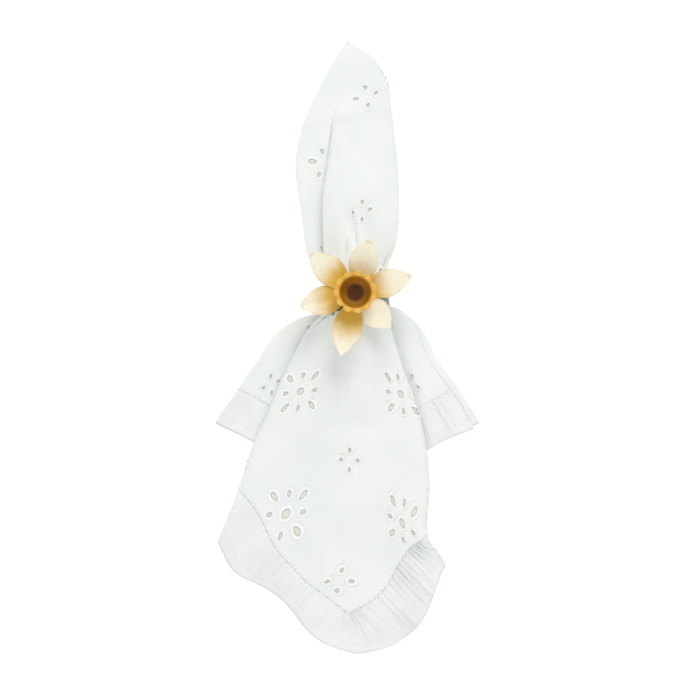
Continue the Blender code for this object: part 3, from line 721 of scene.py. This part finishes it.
class Finish:
    """A material being made: its Principled shader, and any other node through one method."""

    def __init__(self, name, roughness, **settings):
        self.material = bpy.data.materials.new(name)
        self.material.use_nodes = True
        self.tree = self.material.node_tree
        self.shader = self.tree.nodes["Principled BSDF"]
        self.shader.inputs["Roughness"].default_value = roughness
        for key, value in settings.items():
            self.shader.inputs[key.replace("_", " ")].default_value = value

    def put(self, socket, value):
        if isinstance(value, Socket):
            self.tree.links.new(value.socket, socket)
        elif isinstance(value, tuple) and len(value) == 3 and socket.type == "RGBA":
            socket.default_value = (*value, 1.0)
        else:
            socket.default_value = value

    def node(self, kind, settings=None, inputs=None, output=0):
        made = self.tree.nodes.new(kind)
        for key, value in (settings or {}).items():
            setattr(made, key, value)
        for key, value in (inputs or {}).items():
            self.put(made.inputs[key], value)
        return Socket(self, made.outputs[output])

    def place(self, output="Object", scale=(1.0, 1.0, 1.0)):
        """Coordinates on the piece, scaled."""
        coords = self.node("ShaderNodeTexCoord", output=output)
        return self.node("ShaderNodeMapping", inputs={"Vector": coords, "Scale": scale})

    def noise(self, vector, scale, detail=2.0, rough=0.5):
        inputs = {"Vector": vector, "Scale": scale, "Detail": detail, "Roughness": rough}
        return self.node("ShaderNodeTexNoise", inputs=inputs)

    def axes(self, vector):
        split = self.node("ShaderNodeSeparateXYZ", inputs={0: vector})
        node = split.socket.node
        return [Socket(self, node.outputs[i]) for i in range(3)]

    def bump(self, height, distance, strength=1.0):
        inputs = {"Height": height, "Distance": distance, "Strength": strength}
        self.put(self.shader.inputs["Normal"], self.node("ShaderNodeBump", inputs=inputs))

    def colour(self, value):
        self.put(self.shader.inputs["Base Color"], value)

    def paint(self, *pieces):
        for piece in pieces:
            piece.data.materials.clear()
            piece.data.materials.append(self.material)


# Plain-woven cotton: threads a little uneven, slubs along both of them, and a faint bloom of colour
CLOTH_WHITE = (0.845, 0.862, 0.842)
CLOTH_COOL = (0.80, 0.828, 0.815)
# painted shade: the darker, warmer colour of the inner plies where they show through the eyelets
CLOTH_PAINTED_SHADE = (0.76, 0.735, 0.665)


def woven(finish, flat_size, thread):
    """Height of a plain weave on the cloth's own flat map; flat_size and thread in metres."""
    u, v, _ = finish.axes(finish.place("UV", (flat_size[0] / thread, flat_size[1] / thread, 1.0)))
    over_under = (u * math.pi).sin() * (v * math.pi).sin()
    slub_u = finish.noise(finish.place("UV", (flat_size[0] * 1400, flat_size[1] * 90, 1.0)), 1.0)
    slub_v = finish.noise(finish.place("UV", (flat_size[0] * 90, flat_size[1] * 1400, 1.0)), 1.0)
    return over_under * 0.5 + slub_u + slub_v


COTTON = {"roughness": 0.92, "Sheen_Weight": 0.12, "Sheen_Roughness": 0.6, "Specular_IOR_Level": 0.2}
cotton = Finish("eyelet cotton", **COTTON)
bloom = cotton.noise(cotton.place(), 28.0, 3.0).over(0.35, 0.68)
# the point attribute shade says where the inner plies carry the painted shade
under = cotton.node("ShaderNodeAttribute", {"attribute_name": "shade"}, output=2)
cotton.colour(under.mix(bloom.mix(CLOTH_COOL, CLOTH_WHITE), CLOTH_PAINTED_SHADE))
crumple = cotton.noise(cotton.place(), 160.0, 4.0, 0.55)
cotton.bump(woven(cotton, (0.458, 0.458), 0.0007) * 0.35 + crumple * 1.6, 0.00022, 0.55)
cotton.paint(napkin_panel)

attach(napkin_panel, "root")
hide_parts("napkin_panel")

# ---------------------------------------------------------------------------
# The eyelets' embroidery: white thread in satin stitch over the edge of every
# hole, worked by machine.  Only the top and the bottom ply have it here, because
# those inside don't show.  It rides on the cloth that it is sewn to.
# ---------------------------------------------------------------------------
RIM_SECTION = ((-0.14, -0.10), (-0.04, 0.20), (0.35, 0.40), (0.9, 0.38), (1.45, 0.24), (1.9, 0.03))  # out, up

rim_mesh = SheetMesh()
outlines = np.array([outline for outline, _ in HOLES])[:, None]
larger = np.array([grown for _, grown in HOLES])[:, None]
out, up = (np.array(column)[None, :, None] for column in zip(*RIM_SECTION))
flat = outlines + (larger - outlines) * out[..., None]
flat = np.concatenate([flat, flat[:, :1]], axis=1)
flat = np.concatenate([flat, flat[:, :, :1]], axis=2)
up = np.concatenate([up, up[:, :1]], axis=1)
reach, angle = polar(flat)
stitch_shares = (np.linspace(0.0, 1.0, flat.shape[2]), np.linspace(0.0, 1.0, flat.shape[1]))
stitch_map = np.stack(np.meshgrid(*stitch_shares), axis=-1)
for ply, height in ((0, 1.0), (3, 0.25)):
    for rim in ply_points(ply, reach, angle, 0.05 + up * height)[0]:
        rim_mesh.add_grid(rim, stitch_map - 0.5, 0.0)
eyelet_rims = rim_mesh.finish("eyelet_embroidery", 1.0)

thread = Finish("embroidery thread", 0.55, Sheen_Weight=0.3, Sheen_Roughness=0.4, Specular_IOR_Level=0.35)
around, _, _ = thread.axes(thread.place("UV"))
stitch = (around * (2 * math.pi * 26.0) + thread.noise(thread.place(), 900.0) * 5.0).sin()
# the thread is painted a little darker in the grooves between stitches, on the bump's own waves: painted
# shade
thread.colour(stitch.over(-1.0, 0.2).mix((0.88, 0.895, 0.88), (0.95, 0.96, 0.95)))
thread.bump(stitch, 0.0001, 0.6)
thread.paint(eyelet_rims)

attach(eyelet_rims, "root")

# ---------------------------------------------------------------------------
# The ruffle: a strip of the same cotton without eyelets, gathered on to the
# panel's four sides, with a turned and stitched hem.  It folds with the panel.
# ---------------------------------------------------------------------------
TUCK_DROP = 0.3
SEAM_TUCK = -0.5  # the gathered edge lies a little under the panel's turned edge
HEM_TURN = 6.0
RUFFLE_STEP = 0.72  # between columns along the seam
CORNER_SPREAD = 6.0  # of the seam, either side of the corner, over which the ruffle fans out
RUFFLE_ROWS = (0.0, 0.05, 0.12, 0.2, 0.3, 0.41, 0.52, 0.63, 0.74, 0.78, 0.86, 0.94, 1.0)
EDGE_TURN_POINTS = 5
GATHER_PITCH = 3.4
RIDGE_HEIGHT = 1.5
RUFFLE_SEED = 11
FULL_END = (60.0, 8.0)
FULL_SIDE = (40.0, 12.0)  # the gathers stand highest past this angle, on the side that isn't pressed flat


def ruffle_flat(along, out):
    """Flat place on a quarter of points out mm past the seam, fanned round the corner."""
    first = along <= PANEL_HALF
    near = np.minimum(along, 2 * PANEL_HALF - along)
    fan = np.clip((near - PANEL_HALF + CORNER_SPREAD) / CORNER_SPREAD, 0.0, 1.0) * math.pi / 4
    a = PANEL_HALF + out * np.cos(fan)
    b = near + out * np.sin(fan)
    return np.stack([np.where(first, a, b), np.where(first, b, a)], axis=-1)


def gather_heights(length, columns, rows):
    """Height of the gathers: narrow pleats from the seam that run out at different lengths."""
    chance = np.random.default_rng(RUFFLE_SEED)
    along = np.linspace(0.0, length, columns)
    share = np.array(rows)[:, None]
    height = np.zeros((len(rows), columns))
    position = 0.0
    while position < length:
        position += GATHER_PITCH * chance.uniform(0.55, 1.45)
        size = chance.uniform(0.35, 1.0)
        reach = chance.uniform(0.45, 1.5)
        drift = chance.uniform(-2.6, 2.6)
        width = chance.uniform(0.55, 0.95)
        near = np.abs(along - position) < 14.0
        off = along[near][None, :] - position - drift * share
        spread = width * (1.0 + 1.1 * share)
        fade = np.clip(1.0 - (share / reach) ** 2, 0.0, 1.0)
        height[:, near] += size * fade * np.exp(-((off / spread) ** 2))
    return height


columns = np.arange(0.0, 2 * PANEL_HALF + 0.01, RUFFLE_STEP)
corner = np.linspace(PANEL_HALF - CORNER_SPREAD, PANEL_HALF + CORNER_SPREAD, 41)
columns = np.sort(np.concatenate([columns[np.abs(columns - PANEL_HALF) > CORNER_SPREAD], corner]))
columns[-1] = 2 * PANEL_HALF
shares = np.array(RUFFLE_ROWS)[:, None]
gathers = gather_heights(8 * PANEL_HALF, 4 * len(columns), RUFFLE_ROWS)
ruffle_mesh = SheetMesh()
strips = []


def ruffle_ply(ply, along, gather):
    """Points of the ruffle on one ply, row by row, and their place on the strip."""
    loose = np.sin(along / 31.0 + ply * 0.6) * 0.5 + np.sin(along / 12.3 + 1.0) * 0.5
    width = RUFFLE_WIDTH - 0.9 + 1.3 * loose - 0.5 * ply * (ply > 1)
    out = SEAM_TUCK + shares * width[None, :]
    flat = ruffle_flat(np.broadcast_to(along, out.shape), out)
    reach, angle = polar(flat)
    # free of the laps' weight: 1 between them, and beside both edges of the stack
    free = smooth_step(angle, 30.0, 2.5) * smooth_step(-angle, -57.0, 2.5)
    free = np.maximum(free, np.maximum(smooth_step(-angle, -7.0, 4.0), smooth_step(angle, 83.0, 4.0)))
    wave = np.sin(along / 3.1 + 1.9 * np.sin(along / 17.0)) * 0.5 + 0.5
    full = 0.35 + 1.55 * smooth_step(angle, *FULL_SIDE) * (1.0 - 0.65 * smooth_step(angle, *FULL_END))
    swell = shares**1.3 * (0.25 + 1.5 * free) * wave[None, :] * full
    ridge = gather * (0.35 + 0.75 * free) * full * RIDGE_HEIGHT
    points = ply_points(ply, reach, angle)[0]
    tucked = TUCK_DROP * (1.0 - smooth_step(shares, 0.0, 0.12))
    lift = swell + (ridge if ply == 0 else ridge * 0.45) - (tucked if ply == 0 else 0.0)
    points[..., 2] += lift
    return points


for ply in range(4):
    along = columns if ply % 2 == 0 else columns[::-1]
    part = gathers[:, ply * len(columns):(ply + 1) * len(columns)]
    points = ruffle_ply(ply, along, part)
    strips.append(points)
# between the plies, the strip turns round the edges of the stack
ruffle_points = []
for ply in range(4):
    ruffle_points.append(strips[ply])
    first, last = strips[ply][:, -1], strips[(ply + 1) % 4][:, 0]
    angle = 90.0 if ply % 2 == 0 else 0.0
    reach = PANEL_HALF + SEAM_TUCK + np.array(RUFFLE_ROWS) * (RUFFLE_WIDTH - 0.6)
    outward = ply_points(ply, reach, angle)[2] * (1.0 if angle else -1.0)
    ruffle_points.append(np.stack(turn_round(first, last, outward, EDGE_TURN_POINTS), axis=1))
ruffle_grid = np.concatenate(ruffle_points + [ruffle_points[0][:, :1]], axis=1)
strip_shares = np.linspace(0.0, 1.0, ruffle_grid.shape[1])
flats = np.stack(np.meshgrid(strip_shares, np.array(RUFFLE_ROWS)), axis=-1) - 0.5
ruffle_mesh.add_grid(ruffle_grid, flats, 0.0)
napkin_ruffle = ruffle_mesh.finish("gathered_ruffle", 1.0, CLOTH_THICK * MM)

lawn = Finish("ruffle cotton", **COTTON)
bloom = lawn.noise(lawn.place(), 40.0, 3.0).over(0.35, 0.68)
along, out, _ = lawn.axes(lawn.place("UV"))
hem_line = 1.0 - (out - (1.0 - HEM_TURN / RUFFLE_WIDTH)).size().over(0.0, 0.02)
lawn.colour((hem_line * 0.16).mix(bloom.mix((0.79, 0.81, 0.79), (0.845, 0.86, 0.84)), (0.70, 0.715, 0.69)))
crumple = lawn.noise(lawn.place(), 190.0, 4.0, 0.55)
fine = lawn.noise(lawn.place("UV", (1800.0, 4.0, 1.0)), 1.0, 2.0)
lawn.bump(woven(lawn, (2.4, 0.025), 0.0007) * 0.3 + crumple * 1.2 + fine * 3.0 - hem_line * 0.6, 0.00022, 0.6)
lawn.paint(napkin_ruffle)

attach(napkin_ruffle, "root")
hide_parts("napkin_ruffle")

# ---------------------------------------------------------------------------
# The ring: a flat steel band bent to a hoop, its ends butted under the
# flower, and enamelled dark green.
# ---------------------------------------------------------------------------
RING_CENTRE = Vector((4.6, 30.6, 19.0)) * MM
RING_OUTER = 19.0 * MM
RING_WALL = 1.0 * MM
RING_WIDTH = 9.5 * MM
RING_TURN = math.radians(3.0)


def apply_modifiers(piece, *steps):
    """Puts modifiers on a piece one after another, and applies each: kind and settings."""
    for kind, settings in steps:
        modifier = piece.modifiers.new(kind.lower(), kind)
        for key, value in settings.items():
            setattr(modifier, key, value)
        bpy.ops.object.modifier_apply(modifier=modifier.name)


bpy.ops.object.select_all(action="DESELECT")
bpy.ops.mesh.primitive_circle_add(
    vertices=120, radius=RING_OUTER - RING_WALL / 2, location=(0.0, 0.0, -RING_WIDTH / 2)
)
ring = bpy.context.object
ring.name = "ring_hoop"
bpy.ops.object.mode_set(mode="EDIT")
bpy.ops.mesh.select_all(action="SELECT")
bpy.ops.mesh.extrude_region_move(TRANSFORM_OT_translate={"value": (0.0, 0.0, RING_WIDTH)})
bpy.ops.mesh.select_all(action="SELECT")
bpy.ops.mesh.normals_make_consistent(inside=False)
bpy.ops.object.mode_set(mode="OBJECT")
ring.data.name = "ring_hoop"
apply_modifiers(
    ring,
    ("SOLIDIFY", {"thickness": RING_WALL, "offset": 0.0}),
    ("BEVEL", {"width": 0.28 * MM, "segments": 3, "limit_method": "ANGLE"}),
)
ring.rotation_euler = (math.pi / 2, 0.0, RING_TURN)
ring.location = RING_CENTRE
bpy.ops.object.transform_apply(location=True, rotation=True, scale=True)
bpy.ops.object.shade_smooth_by_angle(angle=math.radians(40.0))

green = Finish("green enamel", 0.34, Coat_Weight=0.4, Coat_Roughness=0.15, Metallic=0.0)
cloudy = green.noise(green.place(), 220.0, 4.0).over(0.3, 0.7)
green.colour(cloudy.mix((0.030, 0.085, 0.040), (0.055, 0.14, 0.065)))
green.bump(green.noise(green.place(), 500.0, 2.0), 0.00008, 0.35)
green.paint(ring)

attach(ring, "root")
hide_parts("ring_band")

# ---------------------------------------------------------------------------
# The petals: two whorls of three, cut from sheet steel, hammered a little
# hollow, brushed with enamel from mustard at the heart to ivory at the tips,
# and soldered under the cup.
# ---------------------------------------------------------------------------
METAL = 0.8 * MM
FLOWER_GAP = 0.3 * MM
WHORL_GAP = 0.45 * MM
PETAL_LENGTH = 33.0 * MM
PETAL_HALF = 8.2 * MM
PETAL_LIFT = 4.0 * MM
# gilding: the share of the petal at which its gold fades out
Petal = namedtuple("Petal", "name direction length half_width lift tilt gilding")
UPPER_PETALS = (
    Petal("left upper", 139.5, 33.4, 8.2, 5.0, 2.0, 0.50),
    Petal("right", 16.3, 32.5, 8.0, 4.0, -2.0, 0.44),
    Petal("bottom", 257.2, 35.6, 8.3, 3.0, 1.5, 0.56),
)
LOWER_PETALS = (
    Petal("top", 74.4, 30.4, 8.2, 5.0, -1.5, 0.36),
    Petal("right lower", 315.0, 27.8, 8.2, 2.0, 2.0, 0.24),
    Petal("left", 193.9, 31.7, 8.2, 4.0, -2.0, 0.56),
)
# share of the length, share of the half-width, share of the lift
PETAL_ROWS = (
    (0.06, 0.20, 0.0), (0.14, 0.34, 0.0), (0.22, 0.50, 0.0), (0.30, 0.66, 0.04), (0.38, 0.84, 0.14),
    (0.48, 0.97, 0.28), (0.58, 1.0, 0.42), (0.68, 0.92, 0.56), (0.78, 0.74, 0.70), (0.86, 0.52, 0.82),
    (0.93, 0.29, 0.92), (0.975, 0.13, 0.97), (1.0, 0.03, 1.0),
)

bpy.ops.object.select_all(action="DESELECT")
bpy.ops.mesh.primitive_grid_add(
    x_subdivisions=len(PETAL_ROWS) - 1, y_subdivisions=8, size=1.0, location=(0.5, 0.0, 0.0), calc_uvs=True
)
petal_blank = bpy.context.object
bpy.ops.object.transform_apply(location=True, rotation=True, scale=True)
bpy.ops.object.mode_set(mode="EDIT")


def select_where(piece, test):
    """In edit mode, selects just the points that pass the test."""
    bpy.ops.mesh.select_all(action="DESELECT")
    mesh = bmesh.from_edit_mesh(piece.data)
    for vertex in mesh.verts:
        vertex.select = test(vertex.co)
    mesh.select_flush_mode()
    bmesh.update_edit_mesh(piece.data)


bpy.ops.mesh.select_mode(type="VERT")
last_row = len(PETAL_ROWS) - 1
SET_ASIDE = 5.0  # rows already shaped wait this far along, clear of the rows still to come
for number in range(last_row, -1, -1):
    share, width, lift = PETAL_ROWS[number]
    at = number / last_row
    select_where(petal_blank, lambda co: abs(co.x - at) < 0.2 / last_row and co.z == 0.0)
    bpy.ops.transform.resize(value=(1.0, 2 * PETAL_HALF * width, 1.0), center_override=(at, 0.0, 0.0))
    bpy.ops.transform.translate(value=(share * PETAL_LENGTH + SET_ASIDE - at, 0.0, lift * PETAL_LIFT))
bpy.ops.mesh.select_all(action="SELECT")
bpy.ops.transform.translate(value=(-SET_ASIDE, 0.0, 0.0))
# the middle is beaten down and the two edges stand up
for limit, drop in ((0.62, 0.35), (0.36, 0.4), (0.12, 0.3)):
    select_where(
        petal_blank,
        lambda co: 0.28 * PETAL_LENGTH < co.x < 0.97 * PETAL_LENGTH and abs(co.y) < limit * PETAL_HALF,
    )
    bpy.ops.transform.translate(value=(0.0, 0.0, -drop * MM))
bpy.ops.object.mode_set(mode="OBJECT")


def whorl(name, petals, height):
    """Copies the petal to its places, joins them, and gives them thickness and rounded edges."""
    pieces = []
    for petal in petals:
        copy = petal_blank.copy()
        copy.data = petal_blank.data.copy()
        bpy.context.scene.collection.objects.link(copy)
        sizes = (petal.length, petal.half_width, petal.lift)
        blank = (PETAL_LENGTH, PETAL_HALF, PETAL_LIFT)
        copy.scale = [size * MM / blank_size for size, blank_size in zip(sizes, blank)]
        copy.rotation_euler = (math.radians(petal.tilt), 0.0, math.radians(petal.direction))
        copy.location = (RING_CENTRE.x, RING_CENTRE.y, height)
        gilding = copy.data.attributes.new("gilding", "FLOAT", "POINT")
        gilding.data.foreach_set("value", [petal.gilding] * len(copy.data.vertices))
        pieces.append(copy)
    select_only(*pieces)
    bpy.ops.object.transform_apply(location=True, rotation=True, scale=True)
    bpy.ops.object.join()
    made = bpy.context.object
    made.name = name
    made.data.name = name
    apply_modifiers(
        made,
        ("SOLIDIFY", {"thickness": METAL, "offset": 0.0}),
        ("BEVEL", {"width": 0.2 * MM, "segments": 2, "limit_method": "ANGLE"}),
        ("SUBSURF", {"levels": 2, "render_levels": 2}),
    )
    made.data.shade_smooth()
    return made


lower_height = RING_CENTRE.z + RING_OUTER + FLOWER_GAP + METAL / 2
upper_height = lower_height + METAL + WHORL_GAP
petals_lower = whorl("lower_petals", LOWER_PETALS, lower_height)
petals_upper = whorl("upper_petals", UPPER_PETALS, upper_height)
bpy.data.objects.remove(petal_blank, do_unlink=True)

ivory = Finish("petal enamel", 0.42, Coat_Weight=0.15, Coat_Roughness=0.3)
along, across, _ = ivory.axes(ivory.place("UV"))
grain = ivory.noise(ivory.place(), 260.0, 4.0, 0.6)
brush = ivory.noise(ivory.place("UV", (2.5, 3.5, 1.0)), 1.0, 2.0)
patch = ivory.noise(ivory.place(), 60.0, 2.0)
gilding = ivory.node("ShaderNodeAttribute", {"attribute_name": "gilding"}, output=2)
fade = along - gilding + (brush - 0.5) * 0.10 + (patch - 0.5) * 0.22 + (grain - 0.5) * 0.10
heart = 1.0 - fade.over(-0.2, 0.16)
edge = (across - 0.5).size().over(0.36, 0.5)
speck = ivory.noise(ivory.place(), 700.0, 2.0).over(0.62, 0.72)
tint = heart.mix((0.88, 0.835, 0.665), (0.69, 0.43, 0.05))
tint = (edge * 0.45 * grain.over(0.3, 0.7)).mix(tint, (0.64, 0.46, 0.18))
ivory.colour((speck * 0.14).mix(tint, (0.36, 0.20, 0.05)))
ivory.put(ivory.shader.inputs["Roughness"], grain * 0.25 + 0.32)
ivory.bump(grain, 0.00022, 0.4)
ivory.paint(petals_lower, petals_upper)

for piece, node in ((petals_lower, "petals_lower"), (petals_upper, "petals_upper")):
    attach(piece, "root")
    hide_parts(node)

# ---------------------------------------------------------------------------
# The cup: the flower's trumpet, spun from sheet steel, its rim snipped into
# eleven points that are bent outwards.  Ochre enamel, with painted shade: darker
# down towards the foot and darkest in the middle of the floor.
# ---------------------------------------------------------------------------
CUP_FOOT = 7.0 * MM
TEETH = 11
# Rings up the cup's wall: radius, height over the foot
CUP_RINGS = ((7.0, 0.8), (8.0, 4.0), (8.9, 9.0), (9.3, 11.2), (9.9, 12.4))
cup_base = upper_height + METAL + FLOWER_GAP

bpy.ops.object.select_all(action="DESELECT")
bpy.ops.mesh.primitive_circle_add(
    vertices=TEETH * 4, radius=CUP_FOOT - 1.2 * MM, fill_type="NGON",
    location=(RING_CENTRE.x, RING_CENTRE.y, cup_base),
)
cup = bpy.context.object
cup.name = "trumpet_cup"
cup.data.name = "trumpet_cup"
bpy.ops.object.transform_apply(location=True, rotation=True, scale=True)
bpy.ops.object.mode_set(mode="EDIT")
bpy.ops.mesh.select_mode(type="VERT")
bpy.ops.mesh.select_all(action="SELECT")
for _ in range(3):
    bpy.ops.mesh.inset(thickness=1.4 * MM)


def turn_of(co):
    """Radius and turn of a point about the cup's axis."""
    right, back = co.x - RING_CENTRE.x, co.y - RING_CENTRE.y
    return math.hypot(right, back), math.atan2(back, right)


def rim_points(co, top):
    return abs(co.z - top) < 0.01 * MM


radius, top = CUP_FOOT - 1.2 * MM, cup_base
select_where(cup, lambda co: turn_of(co)[0] > radius - 0.05 * MM)
for ring_radius, ring_height in CUP_RINGS:
    new_top = cup_base + ring_height * MM
    bpy.ops.mesh.extrude_edges_move(TRANSFORM_OT_translate={"value": (0.0, 0.0, new_top - top)})
    grow = ring_radius * MM / radius
    bpy.ops.transform.resize(value=(grow, grow, 1.0), center_override=(RING_CENTRE.x, RING_CENTRE.y, new_top))
    radius, top = ring_radius * MM, new_top


def on_tooth(co, low, high):
    """Whether a rim point lies between two shares of the way from a tooth's root to its tip."""
    if not rim_points(co, top):
        return False
    share = abs((turn_of(co)[1] / (2 * math.pi) * TEETH) % 1.0 - 0.5) * 2.0
    return low < 1.0 - share < high


for low, high, out, up in ((0.25, 0.75, 1.14, -0.2), (0.75, 1.1, 1.2, -0.7)):
    select_where(cup, lambda co: on_tooth(co, low, high))
    bpy.ops.transform.resize(value=(out, out, 1.0), center_override=(RING_CENTRE.x, RING_CENTRE.y, top))
    bpy.ops.transform.translate(value=(0.0, 0.0, up * MM))
bpy.ops.mesh.select_all(action="SELECT")
bpy.ops.mesh.normals_make_consistent(inside=False)
bpy.ops.object.mode_set(mode="OBJECT")
corner = {"limit_method": "ANGLE", "angle_limit": math.radians(50.0)}
apply_modifiers(
    cup,
    ("SOLIDIFY", {"thickness": METAL, "offset": 0.0}),
    ("BEVEL", {"width": 0.15 * MM, "segments": 2, **corner}),
    ("SUBSURF", {"levels": 2, "render_levels": 2}),
)
cup.data.shade_smooth()

ochre = Finish("trumpet enamel", 0.45, Specular_IOR_Level=0.25)
right, back, up = ochre.axes(ochre.place())
grain = ochre.noise(ochre.place(), 320.0, 4.0, 0.6)
# painted shade of the hollow: the colour darkens down towards the foot, and the floor is darkest in its
# middle
height = (up - cup_base) / (13.0 * MM) + (grain - 0.5) * 0.12
from_axis = ((right - RING_CENTRE.x) ** 2.0 + (back - RING_CENTRE.y) ** 2.0) ** 0.5 / MM + (grain - 0.5) * 1.2
wall = from_axis.over(3.2, 7.2).mix((0.10, 0.030, 0.0), (0.50, 0.235, 0.015))
wall = height.over(0.45, 0.92).mix(wall, (0.80, 0.46, 0.08))
ochre.colour(wall)
ochre.bump(grain, 0.0002, 0.4)
ochre.paint(cup)

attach(cup, "root")
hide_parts("flower_cup")

# ---------------------------------------------------------------------------
# The table it lies on, soft even light from all round, a square lamp beyond
# the folded tip with a wider, weaker one on the skirt's side, and the camera
# straight above.
# ---------------------------------------------------------------------------
low, high = cad_box
centre = Vector(((low[0] + high[0]) / 2, (low[1] + high[1]) / 2, 0.0))

bpy.ops.object.select_all(action="DESELECT")
bpy.ops.mesh.primitive_plane_add(size=6.0, location=(centre.x, centre.y, 0.0))
table = bpy.context.object
table.name = "table_top"
paper = Finish("white table", 0.9, Specular_IOR_Level=0.1)
paper.colour((0.95, 0.95, 0.95))
paper.put(paper.shader.inputs["Emission Color"], (1.0, 1.0, 1.0))
paper.shader.inputs["Emission Strength"].default_value = 0.30
paper.paint(table)

world = bpy.data.worlds.new("soft room")
world.use_nodes = True
world.node_tree.nodes["Background"].inputs["Color"].default_value = (1.0, 1.0, 1.0, 1.0)
world.node_tree.nodes["Background"].inputs["Strength"].default_value = 0.60
bpy.context.scene.world = world


def lamp(name, place, size, power):
    """A square soft lamp that faces the middle of the object."""
    light = bpy.data.lights.new(name, "AREA")
    light.size = size
    light.energy = power
    thing = bpy.data.objects.new(name, light)
    thing.location = Vector(place)
    thing.rotation_euler = (centre - Vector(place)).to_track_quat("-Z", "Y").to_euler()
    bpy.context.scene.collection.objects.link(thing)


lamp("window", (0.4, 1.5, 2.0), 1.0, 25.0)
lamp("fill", (-0.6, -1.5, 2.0), 1.6, 16.0)

camera_data = bpy.data.cameras.new("overhead")
camera_data.lens = 100.0
camera_data.sensor_width = 36.0
camera_data.clip_end = 20.0
camera = bpy.data.objects.new("overhead", camera_data)
camera.location = (centre.x + 1.3 * MM, centre.y - 0.7 * MM, 1.11)
bpy.context.scene.collection.objects.link(camera)
bpy.context.scene.camera = camera
bpy.context.scene.view_settings.view_transform = "Standard"
